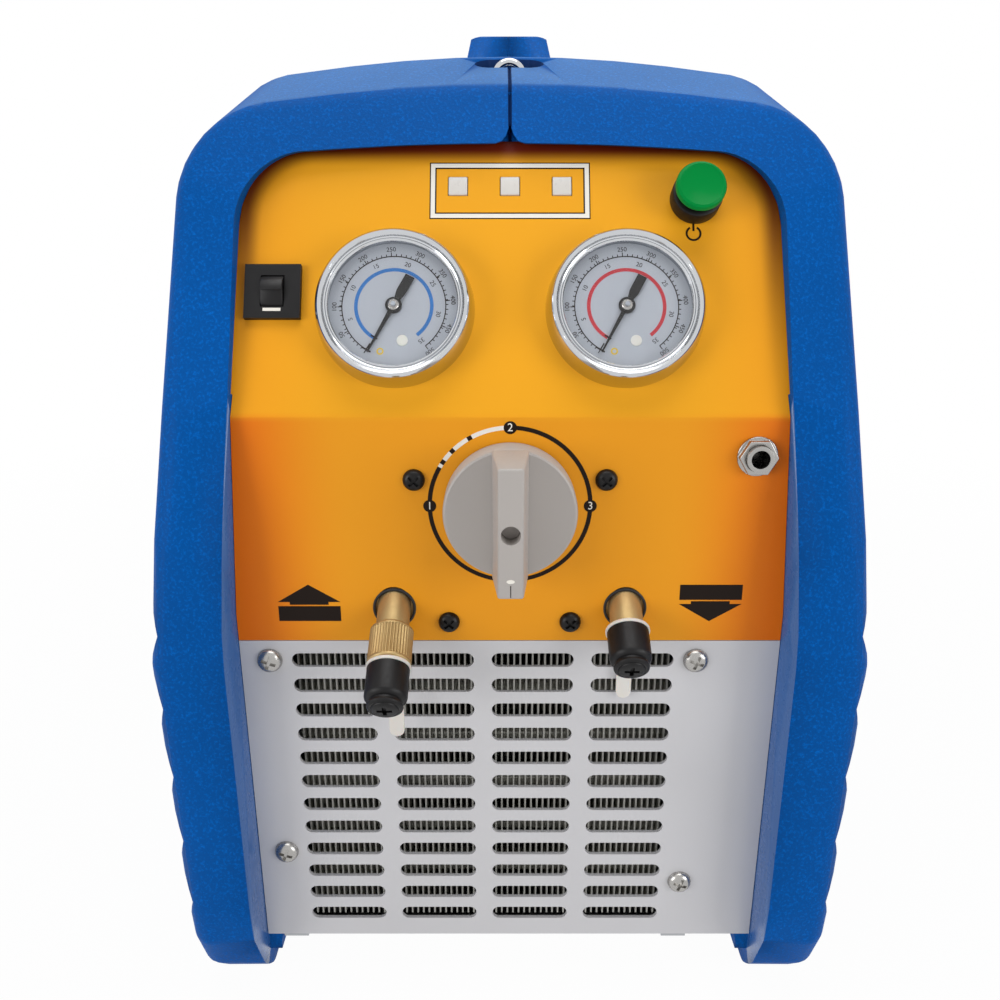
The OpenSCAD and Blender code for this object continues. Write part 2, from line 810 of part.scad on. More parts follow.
// Gauges on the sloping panel
dial_y = -4;
lens_t = 1.5;
pin_r = 0.8;
bezel_lip = 2.2;
module gauge_case() {
    color("#1c1c1c")
        difference() {
            rod_y(gauge_d / 2, -bezel_h + lens_t + 0.5, gauge_back);
            rod_y(gauge_d / 2 - case_t, -bezel_h - 1, dial_y + 2);
            rod_y(gauge_d / 2 - 2 * case_t, dial_y + 1, gauge_back - 2);
        }
}

module bezel() {
    color("#c8c8c8")
        rotate([90, 0, 0])
            rotate_extrude()
                polygon(concat(
                    [[gauge_d / 2 + run_gap, 0], [bezel_d / 2, 0], [bezel_d / 2, bezel_h - 2.5]],
                    [for (a = [15:15:90]) [bezel_d / 2 - 2.5 + 2.5 * cos(a), bezel_h - 2.5 + 2.5 * sin(a)]],
                    [[gauge_d / 2 - bezel_lip, bezel_h - 0.4], [gauge_d / 2 - bezel_lip, bezel_h - 0.5],
                        [gauge_d / 2 + run_gap, bezel_h - 0.5]]));
}

module dial() {
    color("#f4f4f0") {
        difference() {
            rod_y(gauge_d / 2 - case_t - run_gap, dial_y + 2 - 3 * case_t / 2, dial_y + 2);
            rod_y(pin_r, -bezel_h, gauge_back);
        }
        rod_y(pin_r, dial_y - 5.2 + 2, dial_y + 2);
    }
}

needle_l = gauge_d / 2 - 6;
module pointer() {
    color("#101010")
        rotate([0, 180 + pointer_rest, 0])
            difference() {
                union() {
                    rod_y(3, dial_y - 1.7, dial_y - 0.7);
                    along_y(dial_y - 1.7, dial_y - 0.7)
                        polygon([[-2.2, -9], [2.2, -9], [1.2, 0], [0.35, needle_l], [-0.35, needle_l], [-1.2, 0]]);
                }
                rod_y(pin_r + run_gap, -bezel_h, 0);
            }
}

module lens() {
    color("#e8f0f4", 0.35)
        rod_y(gauge_d / 2 - run_gap, -bezel_h + 0.5, -bezel_h + 0.5 + lens_t);
}

module left_gauge_case() { on_slope(-gauge_x, gauge_s) gauge_case(); }
module right_gauge_case() { on_slope(gauge_x, gauge_s) gauge_case(); }
module left_bezel() { on_slope(-gauge_x, gauge_s) bezel(); }
module right_bezel() { on_slope(gauge_x, gauge_s) bezel(); }
module left_dial() { on_slope(-gauge_x, gauge_s) dial(); }
module right_dial() { on_slope(gauge_x, gauge_s) dial(); }
module left_pointer() { on_slope(-gauge_x, gauge_s) pointer(); }
module right_pointer() { on_slope(gauge_x, gauge_s) pointer(); }
module left_lens() { on_slope(-gauge_x, gauge_s) lens(); }
module right_lens() { on_slope(gauge_x, gauge_s) lens(); }

// Selector knob, its screw and the valve spindle
knob_gap = 0.6;
bar_base_w = bar_w + 4;
knob_screw_r = 3;
module selector_knob() {
    color("#a19c97")
        on_panel(0, knob_z)
            difference() {
                union() {
                    rotate([90, 0, 0])
                        rotate_extrude()
                            polygon([[0, knob_gap], [knob_d / 2, knob_gap], [knob_d / 2, knob_t - 2],
                                [knob_d / 2 - 2, knob_t], [0, knob_t]]);
                    hull() {
                        along_y(-knob_t, -knob_t + 1)
                            square([bar_base_w, bar_l + 2], center = true);
                        along_y(-bar_out, -bar_out + 1)
                            square([bar_w, bar_l], center = true);
                    }
                }
                rod_y(spindle_d / 2, -bar_out + 8, 0);
                rod_y(knob_screw_r + fit_gap, -bar_out - 1, -bar_out + 8 + eps);
            }
}

module knob_screw() {
    color("#303030")
        on_panel(0, knob_z)
            rod_y(knob_screw_r, -bar_out + 5.5, -bar_out + 8);
}

module valve_spindle() {
    color("#b0b0b0")
        on_panel(0, knob_z)
            rod_y(spindle_d / 2, -bar_out + 8, sheet_t + manifold_d - 6);
}

// Valve manifold behind the panel
module valve_manifold() {
    color("#b08d57")
        difference() {
            block([-manifold_w, py + sheet_t, manifold_z0], [manifold_w, py + sheet_t + manifold_d, manifold_z1]);
            on_panel(0, knob_z)
                rod_y(spindle_d / 2 + run_gap, -1, sheet_t + manifold_d - 6 + 0.5);
            for (s = panel_screws_at)
                on_panel(s[0], s[1])
                    rod_y(m4_r + run_gap, 0, panel_screw_l + screw_end_gap);
            for (x = [-port_x, port_x])
                at_port(x)
                    translate([0, 0, -port_in])
                        cylinder(r = port_d / 2 + run_gap, h = far / 4);
        }
}

// Ports, filter and caps along each port's axis
port_in = 14;
cap_bore = 12;
module port(neck_z) {
    translate([0, 0, -port_in + 0.3])
        cylinder(d = port_d, h = port_in - 0.3 + port_out);
    cylinder(d = neck_d, h = neck_z + strap_t + screw_gap + cap_bore - 1);
}

module inlet_port() {
    color("#b8a070")
        at_port(-port_x)
            port(port_out + filter_l);
}

module outlet_port() {
    color("#b8a070")
        at_port(port_x)
            port(port_out);
}

knurl_n = 40;
module inlet_filter() {
    color("#b09468")
        at_port(-port_x)
            translate([0, 0, port_out])
                difference() {
                    rotate_extrude()
                        polygon([[neck_d / 2 + run_gap, 0], [filter_d / 2 - 0.8, 0], [filter_d / 2, 0.8],
                            [filter_d / 2, filter_l - 0.8], [filter_d / 2 - 0.8, filter_l], [neck_d / 2 + run_gap, filter_l]]);
                    for (i = [0:knurl_n - 1])
                        rotate([0, 0, i * 360 / knurl_n])
                            translate([filter_d / 2, 0, 1.6])
                                rotate([0, 0, 45])
                                    translate([-0.35, -0.35, 0])
                                        cube([0.7, 0.7, filter_l - 3.2]);
                }
}

module cap() {
    difference() {
        rotate_extrude()
            polygon([[0, cap_bore], [neck_d / 2 + run_gap, cap_bore], [neck_d / 2 + run_gap, 0],
                [cap_d / 2, 0], [cap_d / 2, cap_l - cap_edge], [cap_d / 2 - cap_edge, cap_l], [0, cap_l]]);
        translate([0, 0, cap_l - 0.8])
            difference() {
                cylinder(d = cap_d - 4, h = 2);
                translate([0, 0, -1])
                    cylinder(d = cap_d - 6, h = 4);
            }
        for (a = [0, 90])
            rotate([0, 0, a])
                translate([-2.6, -0.7, cap_l - 1.4])
                    cube([5.2, 1.4, 2]);
    }
}

module inlet_cap() {
    color("#181818")
        at_port(-port_x)
            translate([0, 0, port_out + filter_l + strap_t + screw_gap])
                cap();
}

module outlet_cap() {
    color("#181818")
        at_port(port_x)
            translate([0, 0, port_out + strap_t + screw_gap])
                cap();
}

tab_w = 7;
inlet_tab_l = 16;
outlet_tab_l = 7;
module cap_strap(l) {
    linear_extrude(strap_t)
        difference() {
            union() {
                circle(d = cap_d + 1);
                translate([-tab_w / 2, -cap_d / 2 - l])
                    square([tab_w, l + 1]);
            }
            circle(r = neck_d / 2 + run_gap);
        }
}

module inlet_cap_strap() {
    color("#d8d4c4")
        at_port(-port_x)
            translate([0, 0, port_out + filter_l])
                cap_strap(inlet_tab_l);
}

module outlet_cap_strap() {
    color("#d8d4c4")
        at_port(port_x)
            translate([0, 0, port_out])
                cap_strap(outlet_tab_l);
}

// Start button
button_neck_r = 6;
button_body_l = 18;
button_in = 6;
button_end_gap = 0.3;
module button_collar() {
    color("#161616")
        on_slope(button_x, button_s)
            difference() {
                union() {
                    rotate([90, 0, 0])
                        rotate_extrude()
                            polygon([[0, 0], [collar_d / 2, 0], [collar_d / 2, collar_h - 1.5],
                                [collar_d / 2 - 1.2, collar_h], [0, collar_h]]);
                    rod_y(button_neck_r, -eps, button_body_l);
                }
                rod_y(button_d / 2 + run_gap, -collar_h - 1, -collar_h + button_in + button_stroke + button_end_gap);
            }
}

module start_button() {
    color("#12953b")
        on_slope(button_x, button_s)
            rotate([90, 0, 0])
                rotate_extrude()
                    polygon([[0, collar_h - button_in], [button_d / 2, collar_h - button_in], [button_d / 2, collar_h + 0.4],
                        [button_d / 2 - 0.8, collar_h + 1.2], [0, collar_h + 1.2]]);
}

// Circuit breaker with its rocker
breaker_in = 16;
breaker_back = 24;
breaker_lip = 2.2;
rocker_y = 1.6;
module breaker_body() {
    color("#181818")
        on_slope(breaker_x, breaker_s)
            difference() {
                union() {
                    block([-breaker_w / 2, -breaker_lip, -breaker_w / 2], [breaker_w / 2, 0, breaker_w / 2]);
                    block([-breaker_in / 2, -eps, -breaker_in / 2], [breaker_in / 2, breaker_back, breaker_in / 2]);
                }
                translate([-rocker_w / 2 - fit_gap, rocker_y, 0])
                    rotate([0, 90, 0])
                        cylinder(r = rocker_r + 0.35, h = rocker_w + 2 * fit_gap);
            }
}

module breaker_rocker() {
    color("#262626")
        on_slope(breaker_x, breaker_s)
            translate([-rocker_w / 2, rocker_y, 0])
                rotate([0, 90, 0])
                    difference() {
                        cylinder(r = rocker_r, h = rocker_w);
                        translate([0.8, -rocker_r - 1, -1])
                            rotate([0, 0, 14])
                                translate([0, -1, 0])
                                    cube([2 * rocker_r, 3, rocker_w + 2]);
                    }
}

// Lamp windows on their board
board_y = 5;
module lamp_windows() {
    color("#40382c")
        for (x = lamp_xs)
            on_slope(x, lamp_s)
                block([-lamp_w / 2, -0.5, -lamp_w / 2], [lamp_w / 2, board_y, lamp_w / 2]);
}

board_post_x = lamp_px * 1.5;
module lamp_board() {
    color("#2f6b3a")
        on_slope(0, lamp_s) {
            block([-board_post_x - 3, board_y, -lamp_w / 2 - 2], [board_post_x + 3, board_y + 1.6, lamp_w / 2 + 2]);
            for (x = [-board_post_x, board_post_x])
                translate([x, 0, 0])
                    rod_y(2, sheet_t, board_y + eps);
        }
}

// Phone-type jack with its nut
jack_out = 5;
jack_w = 10.8;
module jack_body() {
    color("#c9c9c9")
        on_panel(jack_x, jack_z)
            difference() {
                union() {
                    rod_y(jack_d / 2, -jack_out, sheet_t + 1);
                    block([-jack_w / 2, sheet_t, -jack_w / 2], [jack_w / 2, sheet_t + 22, jack_w / 2]);
                }
                rod_y(jack_bore_d / 2, -jack_out - 1, sheet_t + 16);
            }
}

module jack_nut() {
    color("#5a5a5a")
        on_panel(jack_x, jack_z)
            difference() {
                union() {
                    rod_y(7, -0.9, 0);
                    translate([0, -0.9 + eps, 0])
                        rotate([90, 0, 0])
                            cylinder(r = 6.7, h = 2.4, $fn = 6);
                }
                rod_y(jack_d / 2 + run_gap, -jack_out - 1, 1);
            }
}

// Finned condenser behind the grille
fin_y0 = py + sheet_t + fin_gap;
fin_z0 = pan_z + sheet_t + 4;
fin_z1 = split_z - 4;
tube_pz = 2 * slot_pz;
tube_z0 = slot_top_z - (slot_nz - 2) * slot_pz;
tube_rows = [fin_y0 + fin_d * 0.26, fin_y0 + fin_d * 0.74];
function tube_z(i) = tube_z0 + i * tube_pz;
module tube_holes(r) {
    for (y = tube_rows, i = [0:tube_n - 1])
        translate([y, tube_z(i)])
            circle(r = r, $fn = 24);
}

module condenser_fins() {
    color("#b9b6ae")
        for (i = [0:fin_n - 1])
            let (x = slot_cx + (i - (fin_n - 1) / 2) * fin_pitch)
                along_x(x - fin_t / 2, x + fin_t / 2)
                    difference() {
                        translate([fin_y0, fin_z0])
                            square([fin_d, fin_z1 - fin_z0]);
                        tube_holes(tube_d / 2 + run_gap);
                    }
}

tube_out = 2;
tube_x0 = end_x0 - sheet_t;
tube_x1 = end_x1 + sheet_t;
module tube_bend(x, y, i, side) {
    translate([x, y, tube_z(i) + tube_pz / 2])
        rotate([90, 0, 0])
            rotate([0, 0, side > 0 ? -90 : 90])
                rotate_extrude(angle = 180)
                    translate([tube_pz / 2, 0])
                        circle(d = tube_d, $fn = 24);
}

module condenser_tubes() {
    color("#c08a5a")
        for (y = tube_rows, i = [0:tube_n - 1])
            along_x(tube_x0 - tube_out, tube_x1 + tube_out)
                translate([y, tube_z(i)])
                    circle(d = tube_d, $fn = 24);
}

module return_bends() {
    color("#c08a5a") {
        for (y = tube_rows, i = [0:tube_n - 2])
            tube_bend(i % 2 == 0 ? tube_x0 - tube_out : tube_x1 + tube_out, y, i, i % 2 == 0 ? -1 : 1);
        translate([tube_x1 + tube_out, (tube_rows[0] + tube_rows[1]) / 2, tube_z(0)])
            rotate([0, 0, -90])
                rotate_extrude(angle = 180)
                    translate([(tube_rows[1] - tube_rows[0]) / 2, 0])
                        circle(d = tube_d, $fn = 24);
    }
}

flange_l = 10;
module end_plate(x, side) {
    color("#a8a8a8")
        difference() {
            union() {
                along_x(min(x, x + side * sheet_t), max(x, x + side * sheet_t))
                    difference() {
                        translate([py + sheet_t, pan_z + sheet_t])
                            square([end_d, split_z - pan_z - sheet_t - 1]);
                        tube_holes(tube_d / 2 + run_gap);
                    }
                block([min(x, x + side * flange_l), py + sheet_t, pan_z + sheet_t],
                    [max(x, x + side * flange_l), py + 2 * sheet_t, split_z - 1]);
            }
            for (s = grille_screws_at)
                on_panel(s[0], s[1])
                    rod_y(m5_r + run_gap, -1, 2 * grille_screw_l);
        }
}

module left_end_plate() { end_plate(end_x0, -1); }
module right_end_plate() { end_plate(end_x1, 1); }

// Fan with its shroud
shroud_y = py + sheet_t + end_d;
shroud_l = 22;
fan_tip_gap = 2;
module fan_shroud() {
    color("#202022")
        difference() {
            union() {
                block([end_x0 - flange_l, shroud_y, pan_z + sheet_t], [end_x1 + flange_l, shroud_y + 2, split_z - 1]);
                translate([slot_cx, 0, shaft_z])
                    rod_y(fan_d / 2 + fan_tip_gap + 2, shroud_y, shroud_y + shroud_l);
            }
            translate([slot_cx, 0, shaft_z])
                rod_y(fan_d / 2 + fan_tip_gap, shroud_y - 1, shroud_y + shroud_l + 1);
        }
}

hub_d = 34;
hub_l = 18;
fan_y = shroud_y + shroud_l / 2;
blade_t = 1.6;
blade_tilt = 32;
blade_w = 26;
module fan() {
    color("#2a2a2c")
        translate([slot_cx, fan_y, shaft_z])
            difference() {
                union() {
                    rod_y(hub_d / 2, -hub_l / 2, hub_l / 2);
                    intersection() {
                        rod_y(fan_d / 2, -hub_l / 2, hub_l / 2);
                        for (i = [0:blade_n - 1])
                            rotate([0, i * 360 / blade_n, 0])
                                rotate([0, 0, blade_tilt])
                                    block([-blade_w / 2, -blade_t / 2, hub_d / 2 - 4], [blade_w / 2, blade_t / 2, fan_d]);
                    }
                }
                rod_y(shaft_d / 2, -hub_l, hub_l);
            }
}

motor_y0 = shroud_y + shroud_l + 14;
motor_y1 = motor_y0 + motor_l;
crank_y1 = motor_y1 + crank_l;
module motor_shaft() {
    color("#bfbfbf")
        translate([slot_cx, 0, shaft_z])
            rod_y(shaft_d / 2, fan_y - hub_l / 2 - 3, crank_y1 - 20);
}

motor_ribs = 12;
module motor() {
    color("#3a3d42")
        translate([slot_cx, 0, shaft_z])
            difference() {
                union() {
                    rod_y(motor_d / 2 - 3, motor_y0 + 8, motor_y1 - 8);
                    for (y = [motor_y0, motor_y1 - 10])
                        rod_y(motor_d / 2, y, y + 10);
                    for (i = [0:motor_ribs - 1])
                        rotate([0, i * 360 / motor_ribs, 0])
                            block([-1.5, motor_y0 + 5, motor_d / 2 - 6], [1.5, motor_y1 - 5, motor_d / 2]);
                }
                rod_y(shaft_d / 2 + run_gap, motor_y0 - 1, motor_y1 + 1);
            }
}

module motor_cradle() {
    color("#8c8c90")
        difference() {
            for (y = [motor_y0 + 1, motor_y1 - 9])
                block([slot_cx - motor_d / 2 + 8, y, pan_z + sheet_t], [slot_cx + motor_d / 2 - 8, y + 8, shaft_z - motor_d / 4]);
            translate([slot_cx, 0, shaft_z])
                rod_y(motor_d / 2 + fit_gap, motor_y0 - 1, motor_y1 + 1);
        }
}

// Compressor: crankcase on feet, finned cylinder and head
crank_y = (motor_y1 + crank_y1) / 2;
crank_z1 = shaft_z + crank_w / 2 - 4;
module crankcase() {
    color("#b4b6b8")
        difference() {
            block([slot_cx - crank_w / 2, motor_y1, shaft_z - crank_w / 2 + 4], [slot_cx + crank_w / 2, crank_y1, crank_z1]);
            translate([slot_cx, 0, shaft_z])
                rod_y(shaft_d / 2 + run_gap, motor_y1 - 1, crank_y1 - 20 + 0.5);
        }
}

module crankcase_feet() {
    color("#1c1c1c")
        for (x = [-1, 1], y = [motor_y1 + 14, crank_y1 - 14])
            translate([slot_cx + x * (crank_w / 2 - 14), y, pan_z + sheet_t])
                cylinder(d = 18, h = shaft_z - crank_w / 2 + 4 - pan_z - sheet_t);
}

barrel_fins = 6;
fin_step = barrel_h / (barrel_fins + 1);
module cylinder_barrel() {
    color("#b4b6b8")
        translate([slot_cx, crank_y, crank_z1])
            rotate_extrude()
                polygon(concat([[0, 0], [barrel_d / 2, 0]],
                    [for (i = [1:barrel_fins], p = [[0, -1], [8, -1], [8, 1], [0, 1]])
                        [barrel_d / 2 + p[0], i * fin_step + p[1]]],
                    [[barrel_d / 2, barrel_h], [0, barrel_h]]));
}

head_w = 70;
head_h = 24;
head_z0 = crank_z1 + barrel_h;
pipe_z = head_z0 + head_h / 2;
module cylinder_head() {
    color("#b4b6b8")
        difference() {
            block([slot_cx - head_w / 2, crank_y - head_w / 2, head_z0], [slot_cx + head_w / 2, crank_y + head_w / 2, head_z0 + head_h]);
            for (i = [0:6])
                block([slot_cx - head_w, crank_y - head_w / 2 + 6 + i * 9, head_z0 + head_h - 8],
                    [slot_cx + head_w, crank_y - head_w / 2 + 9 + i * 9, head_z0 + head_h + 1]);
        }
}

// Copper pipes
pipe_r = pipe_d / 2;
pipe_in = 12;
suction_x = manifold_w - pipe_in;
suction_z = manifold_z1 - pipe_in;
module suction_pipe() {
    color("#b87333")
        pipe([[suction_x, py + sheet_t + manifold_d, suction_z], [suction_x, crank_y, suction_z],
            [suction_x, crank_y, pipe_z], [slot_cx + head_w / 2, crank_y, pipe_z]], pipe_r);
}

pipe_wall_gap = 1;
pipe_x = max(tube_x0 - tube_out - tube_pz / 2 - tube_d,
    -(body_w / 2 - foot_in - wall - pipe_wall_gap - pipe_r));
module discharge_pipe() {
    color("#b87333")
        pipe([[slot_cx - head_w / 2, crank_y, pipe_z], [pipe_x, crank_y, pipe_z],
            [pipe_x, tube_rows[1], pipe_z], [pipe_x, tube_rows[1], tube_z(tube_n - 1)],
            [tube_x0 - tube_out, tube_rows[1], tube_z(tube_n - 1)]], pipe_r);
}

outlet_pipe_z = manifold_z1 - 20;
module outlet_pipe() {
    color("#b87333")
        pipe([[tube_x0 - tube_out, tube_rows[0], tube_z(tube_n - 1)], [pipe_x, tube_rows[0], tube_z(tube_n - 1)],
            [pipe_x, tube_rows[0], outlet_pipe_z], [-manifold_w, tube_rows[0], outlet_pipe_z]], pipe_r);
}

// Straight lines from the manifold's top to the underside of each gauge
line_r = 3;
line_y = 12;
module gauge_lines() {
    color("#b87333")
        for (x = [-gauge_x, gauge_x])
            difference() {
                on_slope(x, -gauge_s)
                    translate([0, line_y, 0])
                        cylinder(r = line_r, h = 2 * gauge_s);
                block([-far, -far, 0], [far, far, manifold_z1]);
                on_slope(x, gauge_s)
                    rod_y(gauge_d / 2, -bezel_h, gauge_back);
            }
}

// Appliance inlet with its blades, seated in the rear sheet
inlet_depth = 24;
blade_px = 7;
module power_inlet() {
    color("#181818")
        translate([inlet_x, rear_y, inlet_z])
            rotate([0, 0, 180]) {
                difference() {
                    union() {
                        block([-inlet_w / 2 - 10, -2.5, -inlet_h / 2 - 2], [inlet_w / 2 + 10, 0, inlet_h / 2 + 2]);
                        block([-inlet_w / 2, -eps, -inlet_h / 2], [inlet_w / 2, inlet_depth, inlet_h / 2]);
                    }
                    block([-inlet_w / 2 + 1.7, -3, -inlet_h / 2 + 1.8], [inlet_w / 2 - 1.7, 17, inlet_h / 2 - 1.8]);
                }
                for (p = [[-blade_px, -2], [0, 2], [blade_px, -2]])
                    block([p[0] - 1, 1, p[1] - 2], [p[0] + 1, 17 + eps, p[1] + 2]);
            }
}

left_shell();
right_shell();
control_panel();
front_grille();
rear_panel();
base_pan();
strap_eye();
panel_screws();
grille_screws();
rear_screws();
pan_screws();
left_gauge_case();
right_gauge_case();
left_bezel();
right_bezel();
left_dial();
right_dial();
left_pointer();
right_pointer();
left_lens();
right_lens();
selector_knob();
knob_screw();
valve_spindle();
valve_manifold();
inlet_port();
outlet_port();
inlet_filter();
inlet_cap();
outlet_cap();
inlet_cap_strap();
outlet_cap_strap();
button_collar();
start_button();
breaker_body();
breaker_rocker();
lamp_windows();
lamp_board();
jack_body();
jack_nut();
condenser_fins();
condenser_tubes();
return_bends();
left_end_plate();
right_end_plate();
fan_shroud();
fan();
motor_shaft();
motor();
motor_cradle();
crankcase();
crankcase_feet();
cylinder_barrel();
cylinder_head();
suction_pipe();
discharge_pipe();
outlet_pipe();
gauge_lines();
power_inlet();
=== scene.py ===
"""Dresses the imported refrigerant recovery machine: skins, finishes, printed marks and a studio stage."""

import json
import math
from contextlib import contextmanager

import bmesh
import bpy
from mathutils import Matrix, Vector


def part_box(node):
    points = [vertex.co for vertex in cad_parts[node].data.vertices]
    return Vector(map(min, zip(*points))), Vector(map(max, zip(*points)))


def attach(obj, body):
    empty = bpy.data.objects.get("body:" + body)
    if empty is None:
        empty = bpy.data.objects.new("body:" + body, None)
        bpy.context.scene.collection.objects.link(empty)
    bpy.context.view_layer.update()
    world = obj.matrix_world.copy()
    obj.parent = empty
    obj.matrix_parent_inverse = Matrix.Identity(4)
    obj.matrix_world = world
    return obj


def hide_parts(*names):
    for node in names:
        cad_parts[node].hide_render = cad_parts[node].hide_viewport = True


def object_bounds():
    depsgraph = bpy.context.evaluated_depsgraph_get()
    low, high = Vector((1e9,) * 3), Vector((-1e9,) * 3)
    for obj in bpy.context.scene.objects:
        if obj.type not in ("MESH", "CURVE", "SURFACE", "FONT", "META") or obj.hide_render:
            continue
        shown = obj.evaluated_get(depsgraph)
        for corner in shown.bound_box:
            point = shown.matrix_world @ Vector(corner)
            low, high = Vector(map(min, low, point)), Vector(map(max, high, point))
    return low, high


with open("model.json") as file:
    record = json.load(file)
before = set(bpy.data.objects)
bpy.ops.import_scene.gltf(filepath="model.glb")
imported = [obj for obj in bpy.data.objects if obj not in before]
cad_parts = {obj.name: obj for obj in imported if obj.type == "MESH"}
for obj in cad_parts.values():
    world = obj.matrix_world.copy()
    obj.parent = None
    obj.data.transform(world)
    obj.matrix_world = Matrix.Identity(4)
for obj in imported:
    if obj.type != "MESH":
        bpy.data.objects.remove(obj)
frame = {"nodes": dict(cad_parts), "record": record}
CAD_BOX = [list(corner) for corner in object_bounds()]

bl_info = {
    "name": "Refrigerant Recovery Machine",
    "version": (1, 0, 0),
    "blender": (4, 5, 0),
    "location": "View3D > Sidebar > Recovery Machine",
    "description": "Dresses the frame of a portable refrigerant recovery machine",
    "category": "Add Mesh",
}

MM = 0.001
HOUSING = "housing"

# Places on the solids, in metres: the panel's bend and the dark rings painted as shade round the ports' holes from the
# selector knob's axis, the grip's top above the crown, and the breaker from the middle of the line of the gauges
BEND_UP = 0.0315
SHADE_RING_X = 0.0417
SHADE_RING_UP = -0.039
GRIP_RISE = 0.0097
BREAKER_AT = (-0.0814, 0.0063)
# Points nearer to each other than this become one
WELD = 0.000002

BEHAVIOUR = frame["record"]["behaviour"]
BODY_OF = {node: body for body, nodes in BEHAVIOUR["bodies"].items() for node in nodes}
SLOT_OF = {part["node"]: part["material_slot"] for part in frame["record"]["subparts"]}
AXIS = {joint["name"]: Vector(joint["axis"]) for joint in BEHAVIOUR["joints"]}
PIVOT = {joint["name"]: Vector(joint["pos_m"]) for joint in BEHAVIOUR["joints"] if "pos_m" in joint}


def linear(code):
    """The linear colour of an sRGB hex value."""
    parts = [int(code[i:i + 2], 16) / 255 for i in (1, 3, 5)]
    return [p / 12.92 if p <= 0.04045 else ((p + 0.055) / 1.055) ** 2.4 for p in parts]


def colour(name, code, description):
    return bpy.props.FloatVectorProperty(
        name=name, description=description, subtype="COLOR", size=3, min=0, max=1, default=linear(code))


def length(name, mm, description):
    return bpy.props.FloatProperty(name=name, description=description, unit="LENGTH", default=mm * MM)


def angle(name, degrees, description):
    return bpy.props.FloatProperty(name=name, description=description, subtype="ANGLE", default=math.radians(degrees))


def number(name, value, description):
    return bpy.props.FloatProperty(name=name, description=description, default=value)


class MachineSizes(bpy.types.PropertyGroup):
    """Sizes and places of the dressed pieces."""

    lean: angle("Lean", 26, "How far the upper panel leans back")
    opening: length("Opening", 99.5, "Half width of the front opening beside the grille")
    brow_w: length("Brow width", 94, "Half width of the front opening under the brow")
    brow_up: length("Brow height", 117.5, "Opening's top edge above the selector knob's axis")
    brow_r: length("Brow corner", 24, "Corner radius of the opening under the brow")
    arch: length("Arch", 2.6, "Rise of the opening's top edge at the middle")
    grip_spread: number("Grip spread", 1.85, "How much wider the grip's top is drawn")
    notch: length("Notch", 5.5, "Rise of the notch where the seam meets the opening")
    seam: length("Seam groove", 0.7, "Width of the chamfer on each side of the seam")
    pointer_rest: angle("Pointer rest", 28, "Angle of the resting pointer from straight down")
    button_x: length("Button across", 64.5, "Start button from the middle")
    button_up: length("Button up", 40, "Start button above the line of the gauges")
    lamp_up: length("Lamps up", 45.3, "Lamp windows above the line of the gauges")
    print_t: length("Print", 0.08, "Thickness of the printed marks")
    ring_r: length("Selector ring", 28, "Radius of the printed ring round the selector knob")
    arrow_x: length("Arrow plates", 72.5, "Arrow plates from the middle")
    arrow_up: length("Arrow height", -37, "Arrow plates from the selector knob's axis")


class MachineColours(bpy.types.PropertyGroup):
    """Colours of the finishes."""

    shell: colour("Shell", "#004F9A", "Blue of the moulded shells")
    # Painted sheen: the paler blue that the faces looking up are painted towards
    shell_pale: colour("Shell bloom", "#6F9FD0", "Paler blue of the faces that look up")
    # Painted reflection: the paler blue of the walls inside the opening stands in for the panel they reflect
    shell_return: colour("Shell return", "#33609F", "Smooth blue of the walls inside the front opening")
    # Painted shade: the dark blue of the pocket round the strap eye and the groove along the seam
    recess: colour("Recess", "#06295A", "Deep blue of the pocket round the strap eye")
    panel: colour("Panel", "#EFA61E", "Orange of the control panel")
    # Painted shadow: the brown that the panel darkens to in a thin band under the brow
    panel_painted_shadow: colour("Panel shade", "#641C05", "Brown that the print deepens to under the brow")
    # Painted shade: the red-orange that the panel darkens to below the bend and towards the rim walls
    panel_painted_shade: colour("Panel edge", "#E87008", "Red-orange that the print deepens to at the lower sides")
    grille: colour("Grille", "#C9C8CA", "Silver of the grille and rear sheet")
    knob: colour("Knob", "#B0AAA5", "Warm grey of the selector knob")
    button: colour("Button", "#00853A", "Green of the start button")
    brass: colour("Brass", "#B59C6C", "Turned brass of the ports")
    copper: colour("Copper", "#B0764F", "Copper of the pipes")
    black: colour("Black plastic", "#121112", "Black moulded parts")
    ink: colour("Dark ink", "#1C120C", "Dark print on the panel")


class MachineStage(bpy.types.PropertyGroup):
    """Camera, floor and light."""

    lens: number("Lens", 32.4, "Focal length in millimetres")
    pitch: angle("Pitch", 18.2, "How far the camera looks down")
    distance: length("Camera distance", 297.5, "From the camera to the panel's front face")
    height: length("Camera height", 306.5, "Camera above the floor")
    aside: length("Camera aside", -3, "Camera's place across")
    shift: number("Shift", -0.0014, "Sideways shift that sets the picture's framing")


# Helpers for modelling


def only(*objs):
    """Selects these objects alone, the first one active."""
    bpy.ops.object.select_all(action="DESELECT")
    for obj in objs:
        obj.select_set(True)
    bpy.context.view_layer.objects.active = objs[0]
    return objs[0]


@contextmanager
def editing(obj):
    """Edit mode on one object, all of it selected."""
    only(obj)
    bpy.ops.object.mode_set(mode="EDIT")
    bpy.ops.mesh.select_all(action="SELECT")
    yield obj
    bpy.ops.object.mode_set(mode="OBJECT")


def pick(obj, kind, test):
    """In edit mode, selects the faces or edges that pass a test."""
    bpy.ops.mesh.select_all(action="DESELECT")
    mesh = bmesh.from_edit_mesh(obj.data)
    for item in getattr(mesh, kind):
        if test(item):
            item.select_set(True)
    mesh.select_flush_mode()
    bmesh.update_edit_mesh(obj.data)


def merge():
    """In edit mode, joins doubled points and turns every face outwards."""
    bpy.ops.mesh.select_all(action="SELECT")
    bpy.ops.mesh.remove_doubles(threshold=WELD)
    bpy.ops.mesh.normals_make_consistent(inside=False)


def settle(obj, place=Matrix.Identity(4)):
    """Moves a piece to its place and puts that place in its mesh."""
    obj.matrix_world = place @ obj.matrix_world
    only(obj)
    bpy.ops.object.transform_apply(location=True, rotation=True, scale=True)
    return obj


